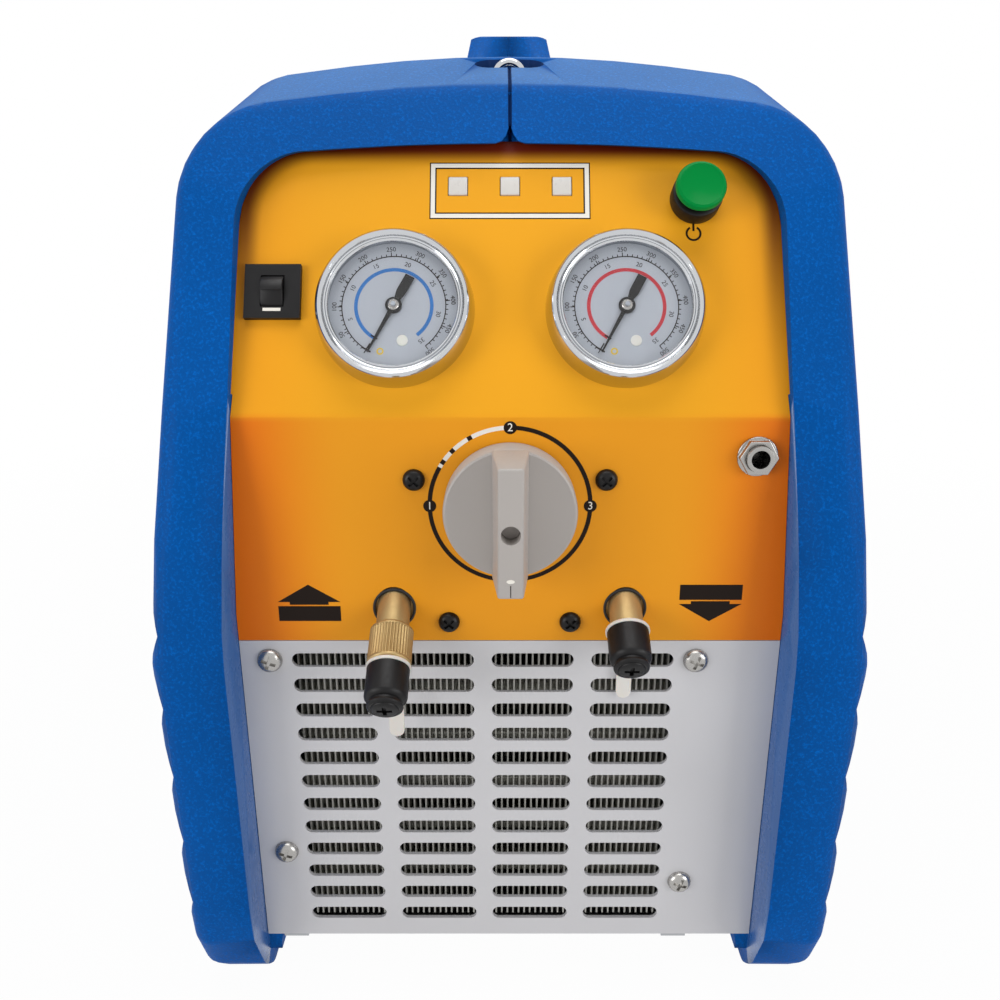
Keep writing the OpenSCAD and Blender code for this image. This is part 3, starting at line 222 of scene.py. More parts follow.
def modify(obj, kind, **settings):
    """Adds one modifier and applies it."""
    only(obj)
    modifier = obj.modifiers.new(kind.lower(), kind)
    for key, value in settings.items():
        setattr(modifier, key, value)
    bpy.ops.object.modifier_apply(modifier=modifier.name)
    return obj


def rounded(obj, mm, segments=2, degrees=40):
    """Rounds the sharp edges of a piece."""
    limit = math.radians(degrees)
    return modify(obj, "BEVEL", width=mm * MM, segments=segments, limit_method="ANGLE", angle_limit=limit)


def smooth(obj, degrees=35):
    only(obj)
    bpy.ops.object.shade_smooth_by_angle(angle=math.radians(degrees))
    return obj


def joined(objs):
    """One object out of several."""
    only(*objs)
    if len(objs) > 1:
        bpy.ops.object.join()
    return objs[0]


def repeated(obj, places):
    """Copies of a piece at several places, joined to one object."""
    copies = []
    for place in places:
        copy = bpy.data.objects.new(obj.name, obj.data.copy())
        bpy.context.scene.collection.objects.link(copy)
        copies.append(settle(copy, place))
    bpy.data.objects.remove(obj)
    return joined(copies)


def cut(obj, cutter):
    """Takes one piece out of another."""
    modify(obj, "BOOLEAN", object=cutter, operation="DIFFERENCE", solver="EXACT")
    bpy.data.objects.remove(cutter)
    return obj


def point_at(x, y):
    """A new object of one point, left in edit mode with the point selected."""
    bpy.ops.object.select_all(action="DESELECT")
    bpy.ops.mesh.primitive_plane_add(size=MM)
    bpy.ops.object.mode_set(mode="EDIT")
    bpy.ops.mesh.select_all(action="SELECT")
    bpy.ops.mesh.merge(type="CENTER")
    bpy.ops.transform.translate(value=(x * MM, y * MM, 0))
    return bpy.context.object


def draw(points):
    """Extrudes the selected point along the steps of a line, in millimetres."""
    for (x0, y0), (x1, y1) in zip(points, points[1:]):
        bpy.ops.mesh.extrude_region_move(TRANSFORM_OT_translate={"value": ((x1 - x0) * MM, (y1 - y0) * MM, 0)})
    bpy.ops.mesh.select_all(action="SELECT")


def lathe(profile, steps=96, degrees=30):
    """A turned piece: pairs of radius and height in front of the panel, spun round the local Y axis."""
    points = [(radius, -out) for radius, out in profile]
    obj = point_at(*points[0])
    draw(points)
    bpy.ops.mesh.spin(steps=steps, angle=2 * math.pi, center=(0, 0, 0), axis=(0, 1, 0))
    merge()
    bpy.ops.object.mode_set(mode="OBJECT")
    return smooth(obj, degrees)


def plate(points, thick):
    """A flat plate of an outline in X and Z, its back on the panel."""
    obj = point_at(*points[0])
    draw(points)
    bpy.ops.mesh.edge_face_add()
    bpy.ops.mesh.extrude_region_move(TRANSFORM_OT_translate={"value": (0, 0, thick * MM)})
    merge()
    bpy.ops.object.mode_set(mode="OBJECT")
    return settle(obj, Matrix.Rotation(math.pi / 2, 4, "X"))


def box_plate(width, height, thick, x=0.0, z=0.0):
    w, h = width / 2, height / 2
    return plate([(x - w, z - h), (x + w, z - h), (x + w, z + h), (x - w, z + h)], thick)


def band(inner, outer, thick, start=0.0, sweep=360.0):
    """A flat band round the local Y axis, from a clock angle on, its back on the panel."""
    corners = [(inner, 0), (outer, 0), (outer, -thick), (inner, -thick), (inner, 0)]
    obj = point_at(*corners[0])
    draw(corners)
    bpy.ops.mesh.remove_doubles(threshold=WELD)
    if sweep < 360:
        bpy.ops.mesh.edge_face_add()
    bpy.ops.mesh.spin(steps=max(int(sweep / 3), 2), angle=-math.radians(sweep), center=(0, 0, 0), axis=(0, 1, 0))
    merge()
    bpy.ops.object.mode_set(mode="OBJECT")
    return settle(obj, Matrix.Rotation(math.radians(start - 90), 4, "Y"))


def digits(words, size, thick):
    """Plain numbers standing on the panel, middle at the origin."""
    bpy.ops.object.select_all(action="DESELECT")
    bpy.ops.object.text_add()
    obj = bpy.context.object
    obj.data.body = words
    obj.data.size = size * MM
    obj.data.extrude = thick / 2 * MM
    obj.data.align_x = "CENTER"
    obj.data.align_y = "CENTER"
    only(obj)
    bpy.ops.object.convert(target="MESH")
    return settle(obj, Matrix.Translation((0, -thick / 2 * MM, 0)) @ Matrix.Rotation(math.pi / 2, 4, "X"))


def arc_point(x, z, radius, degrees):
    """A point of an outline on an arc round a centre."""
    return x + radius * math.cos(math.radians(degrees)), z + radius * math.sin(math.radians(degrees))


def clock(degrees, radius=0.0):
    """A place on a dial: out along a clock angle, turned to face the middle."""
    return Matrix.Rotation(math.radians(degrees), 4, "Y") @ Matrix.Translation((0, 0, radius * MM))


def move(x=0.0, y=0.0, z=0.0):
    return Matrix.Translation((x * MM, y * MM, z * MM))


def dress(obj, name, body, slot, material, *nodes):
    """Names a piece, gives it its finish and puts it on its body in place of the nodes it stands for."""
    obj.name = obj.data.name = name
    obj.data.materials.clear()
    obj.data.materials.append(FINISHES[material])
    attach(obj, body)
    if nodes:
        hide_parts(*nodes)
    return obj


def skin_of(node):
    """A merged copy of a node's mesh, to be finished as a piece."""
    obj = bpy.data.objects.new(node + "_skin", frame["nodes"][node].data.copy())
    bpy.context.scene.collection.objects.link(obj)
    with editing(obj):
        merge()
    return obj


def stand_in(obj, node, material=None):
    """Puts a finished piece in the place of one node."""
    slot = SLOT_OF[node]
    return dress(obj, node + "_skin", BODY_OF[node], slot, material or slot, node)


def centres(node):
    """Middle of each loose part of a node."""
    obj = skin_of(node)
    with editing(obj):
        bpy.ops.mesh.separate(type="LOOSE")
    found = []
    for part in bpy.context.selected_objects:
        corners = [Vector(corner) for corner in part.bound_box]
        found.append((corners[0] + corners[6]) / 2)
        bpy.data.objects.remove(part)
    return sorted(found, key=lambda v: (round(v.z, 4), v.x, v.y))


def on_panel(x=0.0, up=0.0):
    """A place on the upright panel, from the selector knob's axis, in metres."""
    return Matrix.Translation(PIVOT["selector_turn"] + Vector((x, 0, up)))


def on_slope(sizes, x=0.0, up=0.0):
    """A place on the sloping panel, from the middle of the line of the gauges, in metres."""
    gauge = PIVOT["right_needle_turn"]
    slope = Matrix.Translation((0, gauge.y, gauge.z)) @ Matrix.Rotation(-sizes.lean, 4, "X")
    return slope @ Matrix.Translation((x, 0, up))


# Finishes


def add(tree, kind, inputs=None, **settings):
    """Adds one node: settings are its own properties, inputs its sockets, each a value or another node's output."""
    node = tree.nodes.new(kind)
    for key, value in settings.items():
        setattr(node, key, value)
    for key, value in (inputs or {}).items():
        if isinstance(value, bpy.types.NodeSocket):
            tree.links.new(value, node.inputs[key])
        else:
            node.inputs[key].default_value = value
    return node


def maths(tree, operation, *values, **settings):
    """One step of arithmetic."""
    return add(tree, "ShaderNodeMath", dict(enumerate(values)), operation=operation, **settings).outputs[0]


def remap(tree, value, start, end, low=0.0, high=1.0, **settings):
    """A value carried from one range to another."""
    inputs = {"Value": value, "From Min": start, "From Max": end, "To Min": low, "To Max": high}
    return add(tree, "ShaderNodeMapRange", inputs, **settings).outputs["Result"]


def ramp(tree, value, start, end):
    """A soft step from nought to one between two values."""
    return remap(tree, value, start, end, interpolation_type="SMOOTHSTEP")


def blend(tree, share, first, second):
    """A mix of two colours."""
    return add(tree, "ShaderNodeMix", {0: share, 6: first, 7: second}, data_type="RGBA").outputs[2]


def finish(
        name, rgb, roughness, metallic=0.0, grain_mm=1.0, bump=0.1, mottle=0.06, fleck=0.0,
        fade=None, stretch=(1, 1, 1), specular=None, shader=None):
    """A finish from two noises: a fine one for roughness, bump and flecks, and a broad one for the colour."""
    material = bpy.data.materials.new(name)
    material.use_nodes = True
    tree = material.node_tree
    tree.nodes.clear()
    low, high = 0.3, 0.7
    broad_scale, fleck_start, fleck_full = 14.0, 0.5, 0.72
    where = add(tree, "ShaderNodeTexCoord").outputs["Object"]
    turned = add(tree, "ShaderNodeMapping", {"Vector": where, "Scale": stretch}).outputs["Vector"]
    fine = {"Vector": turned, "Scale": 0.5 / (grain_mm * MM), "Detail": 3.0, "Roughness": 0.6}
    grain = add(tree, "ShaderNodeTexNoise", fine).outputs["Fac"]
    broad = add(tree, "ShaderNodeTexNoise", {"Vector": where, "Scale": broad_scale, "Detail": 2.0}).outputs["Fac"]
    shade = remap(tree, broad, low, high, 1 - mottle, 1 + mottle)
    lift = remap(tree, grain, fleck_start, fleck_full, 1.0, 1 + fleck)
    level = maths(tree, "MULTIPLY", shade, lift)
    paint = fade(tree, where, rgb) if fade else list(rgb)
    tint = add(tree, "ShaderNodeVectorMath", {0: paint, "Scale": level}, operation="SCALE").outputs["Vector"]
    rough = remap(tree, grain, low, high, roughness * 0.85, min(roughness * 1.15, 1.0))
    relief = {"Height": grain, "Strength": bump, "Distance": grain_mm * MM * 0.3}
    normal = add(tree, "ShaderNodeBump", relief).outputs["Normal"]
    inputs = {"Base Color": tint, "Roughness": rough, "Metallic": metallic, "Normal": normal}
    if specular is not None:
        inputs["Specular IOR Level"] = specular
    inputs.update(shader or {})
    body = add(tree, "ShaderNodeBsdfPrincipled", inputs)
    add(tree, "ShaderNodeOutputMaterial", {"Surface": body.outputs["BSDF"]})
    return material


FINISHES = {}


def make_finishes(colours, sizes):
    """All the finishes of the machine, by the record's slot names, and the printing inks."""
    f = FINISHES
    knob_z = PIVOT["selector_turn"].z
    bend_z = knob_z + BEND_UP

    def painted_sheen(tree, where, rgb):
        """Pales the faces that look up: a painted sheen that stands in for the overhead light falling on them."""
        start, full, most = 0.8, 0.99, 0.36
        normal = add(tree, "ShaderNodeNewGeometry").outputs["Normal"]
        facing = add(tree, "ShaderNodeSeparateXYZ", {"Vector": normal}).outputs["Z"]
        share = maths(tree, "MULTIPLY", ramp(tree, facing, start, full), most)
        return blend(tree, share, (*rgb, 1), (*colours.shell_pale, 1))

    def beyond(tree, value, start):
        """How far a value lies beyond a start, or nought."""
        return maths(tree, "MAXIMUM", maths(tree, "SUBTRACT", value, start), 0.0)

    def paint_panel_shade(tree, where, rgb):
        """Paints shade into the panel's colour: redder towards the sides and below the bend, where the panel faces
        down, most at the lower sides by the rim walls, and a thin painted shadow under the brow.
        """
        low_share, side_share, low_tone = 0.62, 0.2, 0.22
        side_start, side_full, bend_soft = 0.055, 0.101, 0.002
        shadow_start, shadow_full = 0.008, 0.0018
        rise_start, rise_full = 0.008, 0.085
        across = add(tree, "ShaderNodeSeparateXYZ", {"Vector": where})
        height = across.outputs["Z"]
        aside = maths(tree, "ABSOLUTE", across.outputs["X"])
        # Painted shade: redder towards the sides and below the bend, most where both meet
        side = ramp(tree, aside, side_start, side_full)
        low = ramp(tree, height, bend_z + bend_soft, bend_z - bend_soft)
        deep = maths(tree, "MULTIPLY", side, maths(tree, "MULTIPLY_ADD", low, low_share, side_share))
        tone = maths(tree, "MULTIPLY_ADD", low, low_tone, deep, use_clamp=True)
        ground = blend(tree, tone, (*rgb, 1), (*colours.panel_painted_shade, 1))
        # Painted shadow: a thin band along the opening's top edge, its corners and the upper sides, under the brow
        corner_x = sizes.brow_w - sizes.brow_r
        corner_z = knob_z + sizes.brow_up + sizes.arch - sizes.brow_r
        past = {"X": beyond(tree, aside, corner_x), "Z": beyond(tree, height, corner_z)}
        corner = add(tree, "ShaderNodeCombineXYZ", past).outputs["Vector"]
        out = add(tree, "ShaderNodeVectorMath", {0: corner}, operation="LENGTH").outputs["Value"]
        edge = ramp(tree, out, sizes.brow_r - shadow_start, sizes.brow_r - shadow_full)
        upper = ramp(tree, height, bend_z + rise_start, bend_z + rise_full)
        shade = maths(tree, "MULTIPLY", edge, upper)
        return blend(tree, shade, ground, (*colours.panel_painted_shadow, 1))

    # Acrylonitrile butadiene styrene from a spark-eroded mould: a pebbled satin skin, with a painted sheen on the
    # faces that look up
    f["blue_shell"] = finish(
        "textured_abs_blue", colours.shell, 0.55,
        grain_mm=0.5, bump=0.9, fleck=0.6, fade=painted_sheen, specular=0.06)
    # The same plastic from a polished part of the mould: smooth and glossier, and its paler, greyer blue is a painted
    # reflection of the panel the walls face
    f["shell_return"] = finish("polished_abs_blue", colours.shell_return, 0.28, grain_mm=3.0, bump=0.03)
    # A darker, duller copy of the same plastic: painted shade in the pocket round the strap eye and along the groove
    # of the seam
    f["shell_recess"] = finish(
        "dull_abs_blue", colours.recess, 0.7,
        grain_mm=0.9, bump=0.3, specular=0.1)
    # Printed polyester film on powder-coated steel: even, faint orange peel, with painted shade below the bend and at
    # the sides and a painted shadow under the brow
    f["orange_panel"] = finish(
        "powder_coat_orange", colours.panel, 0.4,
        grain_mm=0.9, bump=0.06, mottle=0.02, fade=paint_panel_shade, specular=0.2)
    # Aluminium-flake paint on sheet steel: soft metallic sheen
    f["silver_sheet"] = finish(
        "silver_sheet_paint", colours.grille, 0.42, metallic=0.2, grain_mm=0.6, bump=0.05, mottle=0.03)
    # Zinc plate over rolled steel: rolling lines along the sheet
    f["zinc_sheet"] = finish(
        "zinc_plated_sheet", linear("#A9ABAE"), 0.34, metallic=1.0, grain_mm=0.8, bump=0.05, stretch=(1, 0.06, 1))
    # Chromium plate on a spun ring: near mirror, barely waved
    f["chrome"] = finish("chrome_plate", linear("#C9CBCE"), 0.09, metallic=1.0, grain_mm=4.0, bump=0.015, mottle=0.02)
    # Black oxide on cut steel: dark with a dull sheen
    f["black_steel"] = finish("black_oxide_steel", linear("#1E1D1D"), 0.36, metallic=0.7, grain_mm=0.5, bump=0.05)
    # Bright zinc on turned steel
    f["bright_steel"] = finish("bright_zinc_steel", linear("#A9A7A4"), 0.26, metallic=1.0, grain_mm=0.5, bump=0.04)
    # Black nylon from a fine mould
    f["black_plastic"] = finish(
        "black_nylon", colours.black, 0.42,
        grain_mm=0.6, bump=0.1, mottle=0.15, specular=0.25)
    # White enamel on a stamped dial
    f["white_dial"] = finish("dial_enamel", linear("#A7ADB7"), 0.4, grain_mm=0.5, bump=0.02, mottle=0.01)
    # Polished acrylic lens
    f["clear_lens"] = finish(
        "acrylic_lens", (1.0, 1.0, 1.0), 0.02, grain_mm=8.0, bump=0.004, mottle=0.0,
        shader={"Transmission Weight": 1.0, "IOR": 1.3})
    # Moulded nylon knob with a satin face
    f["knob_grey"] = finish("knob_nylon_grey", colours.knob, 0.45, grain_mm=0.8, bump=0.08, mottle=0.04)
    # Turned brass, dulled by handling, with tool lines round it
    f["brass"] = finish("turned_brass", colours.brass, 0.48, metallic=0.75, grain_mm=0.5, bump=0.06, mottle=0.12)
    # Unfilled polythene: waxy and slightly clear
    f["pale_plastic"] = finish(
        "natural_polythene", linear("#DDD9D2"), 0.45, grain_mm=1.0, bump=0.05,
        shader={"Subsurface Weight": 0.2, "Subsurface Scale": 0.002})
    # Green acrylic button, polished
    f["green_plastic"] = finish(
        "green_acrylic", colours.button, 0.22,
        grain_mm=1.0, bump=0.03, mottle=0.08, specular=0.06)
    # Milky diffusing window over a lamp
    f["lamp_white"] = finish("lamp_window", linear("#D6D2CC"), 0.3, grain_mm=0.8, bump=0.03, mottle=0.03)
    # Glass-epoxy board
    f["board_green"] = finish("glass_epoxy_board", linear("#2F6B3A"), 0.4, grain_mm=0.5, bump=0.05)
    # Rolled aluminium strip, cut edges bright
    f["aluminium"] = finish(
        "mill_aluminium", linear("#C4C3BC"), 0.5, metallic=0.6, grain_mm=0.6, bump=0.05, mottle=0.08)
    # Drawn copper tube, lightly tarnished
    f["copper"] = finish("drawn_copper", colours.copper, 0.3, metallic=1.0, grain_mm=0.8, bump=0.04, mottle=0.15)
    # Stove enamel over cast iron
    f["motor_grey"] = finish("motor_enamel", linear("#3A3D42"), 0.45, grain_mm=1.2, bump=0.15)
    # Nitrile rubber
    f["black_rubber"] = finish("nitrile_rubber", linear("#121212"), 0.7, grain_mm=0.8, bump=0.1)
    # Screen inks: flat, and a little duller than the coat under them
    inks = {
        "dark": colours.ink, "white": linear("#F1ECE2"), "blue": linear("#2F6FB4"),
        "red": linear("#B8323C"), "yellow": linear("#D8B83A")}
    for name, rgb in inks.items():
        f["ink_" + name] = finish(
            "screen_ink_" + name, rgb, 0.38, grain_mm=0.5, bump=0.02, mottle=0.02, specular=0.12)


class RECOVERY_OT_finishes(bpy.types.Operator):
    """Gives each carried-over node the finish of its slot"""

    bl_idname = "recovery.finishes"
    bl_label = "Finishes"

    def execute(self, context):
        make_finishes(context.scene.machine_colours, context.scene.machine_sizes)
        for node, slot in SLOT_OF.items():
            mesh = frame["nodes"][node].data
            mesh.materials.clear()
            mesh.materials.append(FINISHES[slot])
        return {"FINISHED"}


class RECOVERY_OT_shells(bpy.types.Operator):
    """The two moulded shells, with an arched brow over the panel and a groove along the seam"""

    bl_idname = "recovery.shells"
    bl_label = "Shells"

    # Edges on the seam: how near the middle, how high up and how sharp
    SEAM_NEAR, SEAM_Z, SEAM_FOLD = 0.00001, 0.3, 0.8
    # Points that belong to the grip's top, above the crown
    GRIP_FOOT = 0.0015
    # Reach of the pocket round the strap eye, and its width to its depth
    POCKET, POCKET_WIDE = 0.0085, 1.8
    # Faces by how far they look up or to the side: the pocket's rim, the chamfer, the opening's walls
    RIM_UP, CHAMFER, WALL_ASIDE = 0.85, (0.3, 0.95), 0.6
    # Places of the second and third finish in the shell's list
    RETURN, RECESS = 1, 2

    def brow(self, sizes):
        """The space under the arched brow, in front of the sloping panel."""
        lengths = (sizes.brow_w, sizes.brow_up, sizes.brow_r, sizes.arch, sizes.notch)
        wide, top, r, arch, rise = (value / MM for value in lengths)
        corner = [arc_point(wide - r, top - r, r, a) for a in range(0, 90, 6)]
        steps = 8
        edge = [((wide - r) * t / steps, top + arch * (1 - (t / steps) ** 2)) for t in range(steps, 0, -1)]
        notch = [(x, top + arch + rise * share) for x, share in ((5.2, 0), (2.8, 0.15), (1.3, 0.5), (0.4, 1))]
        foot = (wide + 0.5, 38.5)
        half = [foot, *corner, *edge, *notch]
        space = settle(plate(half + [(-x, z) for x, z in reversed(half)], 160), on_panel() @ move(y=60))
        behind = settle(box_plate(300, 300, 200), on_slope(sizes) @ move(y=199.5))
        return cut(space, behind)

    def on_seam(self, edge, eye):
        """True for a sharp edge of the seam in front of the strap eye."""
        if len(edge.link_faces) != 2:
            return False
        ends = [v.co for v in edge.verts]
        front = all(abs(p.x) < self.SEAM_NEAR and p.z > self.SEAM_Z and p.y < eye.y for p in ends)
        return front and edge.calc_face_angle() > self.SEAM_FOLD

    def execute(self, context):
        sizes = context.scene.machine_sizes
        panel_y = PIVOT["selector_turn"].y
        eye = sum((Vector(corner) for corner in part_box("strap_eye")), Vector()) / 2
        crown = CAD_BOX[1][2] - GRIP_RISE
        for side in ("left", "right"):
            obj = cut(skin_of(side + "_shell"), self.brow(sizes))
            with editing(obj):
                merge()
                pick(obj, "edges", lambda e: self.on_seam(e, eye))
                bpy.ops.mesh.bevel(offset=sizes.seam, segments=1, affect="EDGES", clamp_overlap=False)
                pick(obj, "verts", lambda v: v.co.z > crown + self.GRIP_FOOT)
                bpy.ops.transform.resize(value=(sizes.grip_spread, 1, 1), center_override=(0, 0, 0))
            stand_in(modify(smooth(obj, 30), "WEIGHTED_NORMAL", keep_sharp=True), side + "_shell")
            obj.data.materials.append(FINISHES["shell_return"])
            obj.data.materials.append(FINISHES["shell_recess"])
            for face in obj.data.polygons:
                away = face.center - eye
                reach = max(abs(away.x) / self.POCKET_WIDE, abs(away.y), abs(away.z))
                pocket = reach < self.POCKET and face.normal.z < self.RIM_UP
                aside = abs(face.normal.x)
                groove = abs(face.center.x) < sizes.seam and self.CHAMFER[0] < aside < self.CHAMFER[1]
                # Painted shade: the pocket round the strap eye and the chamfer of the seam take the dark blue
                if pocket or groove:
                    face.material_index = self.RECESS
                # The walls inside the opening take the glossy blue with the painted reflection of the panel
                inside = abs(face.center.x) < sizes.opening + 0.001 and face.center.y < panel_y
                if inside and face.center.x * face.normal.x < 0 and aside > self.WALL_ASIDE:
                    face.material_index = self.RETURN
        return {"FINISHED"}


class RECOVERY_OT_fasteners(bpy.types.Operator):
    """Cross-recessed screws on the panel, the grille, the rear sheet and the base"""

    bl_idname = "recovery.fasteners"
    bl_label = "Fasteners"

    def screw(self, head_r, head_h, shank_r, shank_l):
        """A dome-headed screw along -Y with a cross recess."""
        turns = [math.radians(a) for a in range(0, 91, 10)]
        dome = [(head_r * max(math.cos(a), 0) ** 0.6, head_h * math.sin(a)) for a in turns]
        obj = lathe([(0, -shank_l), (shank_r, -shank_l), (shank_r, 0), *dome], 48)
        slot_l, slot_w = head_r * 1.15, head_r * 0.26
        for turn in (0, 90):
            cut(obj, settle(box_plate(slot_l, slot_w, head_h), clock(turn) @ move(y=-head_h * 0.5)))
        return smooth(obj, 30)

    def execute(self, context):
        ahead = Matrix.Identity(4)
        behind = Matrix.Rotation(math.pi, 4, "Z")
        below = Matrix.Rotation(math.pi / 2, 4, "X")
        for node, head_r, head_h, shank_r, shank_l, facing, turn in (
            ("panel_screws", 3.9, 2.6, 2, 12, ahead, 45),
            ("grille_screws", 4.7, 2.8, 2.5, 8, ahead, 20),
            ("rear_screws", 3.9, 2.6, 2, 1.5, behind, 45),
            ("pan_screws", 4.7, 2.8, 2.5, 10.5, below, 45),
        ):
            outward = facing @ Vector((0, -1, 0))
            reach = (head_h - shank_l) / 2 * MM
            places = [Matrix.Translation(c - outward * reach) @ facing @ clock(turn) for c in centres(node)]
            stand_in(repeated(self.screw(head_r, head_h, shank_r, shank_l), places), node)
        return {"FINISHED"}


class RECOVERY_OT_gauges(bpy.types.Operator):
    """Bezels, lenses, printed dials and pointers of the two gauges"""

    bl_idname = "recovery.gauges"
    bl_label = "Gauges"

    DIAL_OUT = 4.25
    START, SWEEP = 211.0, 291.0

    def bezel(self):
        return lathe([
            (24.06, 0), (27.3, 0), (27.3, 1.0), (27.0, 3.6), (26.5, 6.4), (26.1, 8.2), (25.6, 9.4),
            (24.9, 10), (24.1, 9.8), (23.5, 9.2), (23.2, 8.5), (22.8, 8.3), (22.4, 8.6), (22.0, 8.6), (21.7, 8.2),
            (21.7, 7.7), (22.25, 7.5), (22.25, 4.3), (22.45, 4.3), (22.45, 7.0), (24.06, 7.0), (24.06, 0)], 128)

    def lens(self):
        return lathe([(0, 6.6), (22.1, 6.6), (22.1, 7.2), (16, 7.7), (8, 8.0), (0, 8.1)], 96)

    def scale(self, thick):
        """Tick circle, ticks, zero marks and two rings of plain numbers."""
        pieces = [band(17.35, 17.7, thick, self.START, self.SWEEP)]
        for count, tall in ((54, 0.9), (10, 1.5)):
            tick = settle(box_plate(0.3, tall, thick), move(z=tall / 2))
            pieces.append(repeated(tick, [clock(self.START + self.SWEEP * i / count, 17.5) for i in range(count + 1)]))
        for radius, wide in ((12.6, 2.6), (17.6, 3.4)):
            pieces.append(settle(box_plate(wide, 0.55, thick), clock(self.START, radius)))
        pieces.append(settle(box_plate(0.45, 2.6, thick), clock(self.START, 16.4)))
        for radius, size, top, count in ((20.0, 2.2, 500, 10), (15.2, 2.2, 35, 7)):
            for i in range(1, count + 1):
                figure = digits(str(top * i // count), size, thick)
                pieces.append(settle(figure, clock(self.START + self.SWEEP * i / count, radius)))
        return joined(pieces)

    def pointer(self, rest):
        """A hub, a broad tail and a tapering needle."""
        hub = lathe([(0.9, 4.75), (2.8, 4.75), (2.8, 5.5), (2.5, 5.75), (0.9, 5.75), (0.9, 4.75)], 48)
        needle = plate([
            (-0.9, -2), (-1.65, -5.2), (-1.65, -11.6), (1.65, -11.6), (1.65, -5.2), (0.9, -2),
            (0.75, 2), (0.25, 18.3), (-0.25, 18.3), (-0.75, 2)], 0.5)
        bore = lathe([(0, -1), (0.9, -1), (0.9, 1), (0, 1)], 32)
        cut(needle, bore)
        needle = settle(rounded(needle, 0.08), move(y=-4.95))
        return settle(joined([hub, needle]), Matrix.Rotation(math.pi + rest, 4, "Y"))

    def execute(self, context):
        sizes = context.scene.machine_sizes
        thick = sizes.print_t / MM
        for side, ink in (("left", "ink_blue"), ("right", "ink_red")):
            place = on_slope(sizes, PIVOT[side + "_needle_turn"].x)
            face = place @ move(y=-self.DIAL_OUT)
            needle = side + "_needle"
            stand_in(settle(self.bezel(), place), side + "_bezel")
            stand_in(settle(self.lens(), place), side + "_lens")
            stand_in(settle(self.pointer(sizes.pointer_rest), place), side + "_pointer")
            cap = lathe([(0.9, 5.75), (1.9, 5.75), (1.9, 6.0), (1.6, 6.25), (0.9, 6.3), (0.9, 5.75)], 40)
            dress(settle(cap, place), side + "_pointer_cap", needle, "bright_steel", "bright_steel")
            dress(settle(self.scale(thick), face), side + "_dial_scale", HOUSING, "white_dial", "ink_dark")
            arc = band(12.2, 13.4, thick * 0.8, self.START, self.SWEEP)
            dress(settle(arc, face), side + "_dial_arc", HOUSING, "white_dial", ink)
            mark = settle(band(0.7, 1.2, thick), move(-4.4, 0, -15.7))
            dress(settle(mark, face), side + "_dial_ring", HOUSING, "white_dial", "ink_yellow")
            plug = lathe([(0, 0), (1.9, 0), (1.9, 0.25), (1.6, 0.4), (0, 0.4)], 40)
            dress(settle(plug, face @ move(3, 0, -12)), side + "_dial_plug", HOUSING, "white_dial", "pale_plastic")
        return {"FINISHED"}


class RECOVERY_OT_selector(bpy.types.Operator):
    """Selector knob with its index mark, and the printed ring with its numbered positions"""

    bl_idname = "recovery.selector"
    bl_label = "Selector"

    def knob(self):
        """A disc with a rounded edge and a tapered bar with a screw hole."""
        bore = 4.02
        foot_w, foot_l, top_w, top_l = 12.5, 46, 8.5, 44
        disc = lathe([(bore, 0.6), (23, 0.6), (23, 8.8), (22.7, 9.6), (22.1, 10), (bore, 10), (bore, 0.6)], 128)
        bar = settle(box_plate(foot_w, foot_l, 20), move(y=-10))
        with editing(bar):
            pick(bar, "faces", lambda f: f.normal.y < -0.9)
            bpy.ops.transform.resize(value=(top_w / foot_w, 1, top_l / foot_l))
        rounded(bar, 0.8, 3)
        cut(bar, lathe([(0, 0), (bore, 0), (bore, 22), (0, 22)], 64))
        cut(bar, lathe([(0, 21.9), (3.2, 21.9), (3.2, 31), (0, 31)], 64))
        return joined([smooth(bar, 35), disc])

    def execute(self, context):
        sizes = context.scene.machine_sizes
        thick = sizes.print_t / MM
        radius = sizes.ring_r / MM
        place = on_panel()
        stand_in(settle(self.knob(), place), "selector_knob")
        stand_in(smooth(rounded(skin_of("knob_screw"), 0.3), 35), "knob_screw", "knob_grey")
        dot = lathe([(0, 0), (0.75, 0), (0.75, thick), (0, thick)], 32)
        index = settle(settle(dot, Matrix.Diagonal((1.8, 1, 0.9, 1))), move(y=-30, z=-15.8))
        line = settle(box_plate(0.25, 4.2, thick), move(y=-30, z=-19.3))
        dress(settle(index, place), "knob_index", "knob", "knob_grey", "ink_white")
        dress(settle(line, place), "knob_index_line", "knob", "knob_grey", "ink_dark")

        stops = {"1": 270, "2": 0, "3": 90}
        inner, outer = radius - 0.75, radius + 0.75
        gaps = [settle(box_plate(1.7, 1.5, thick * 1.3), clock(a, radius)) for a in (304.5, 315, 330.4)]
        ring = [band(inner, outer, thick, 356, 304), *gaps]
        for a in stops.values():
            spot = lathe([(0, 0), (2.25, 0), (2.25, thick * 1.2), (2.15, thick * 1.4), (0, thick * 1.4)], 48)
            ring.append(settle(spot, clock(a, radius)))
        dress(settle(joined(ring), place), "selector_ring", HOUSING, "orange_panel", "ink_dark")
        white = [band(inner, outer, thick, 300, 56)]
        for words, a in stops.items():
            white.append(settle(digits(words, 4.0, thick), clock(a, radius) @ clock(-a) @ move(y=-thick * 1.4)))
        dress(settle(joined(white), place), "selector_numbers", HOUSING, "orange_panel", "ink_white")
        return {"FINISHED"}


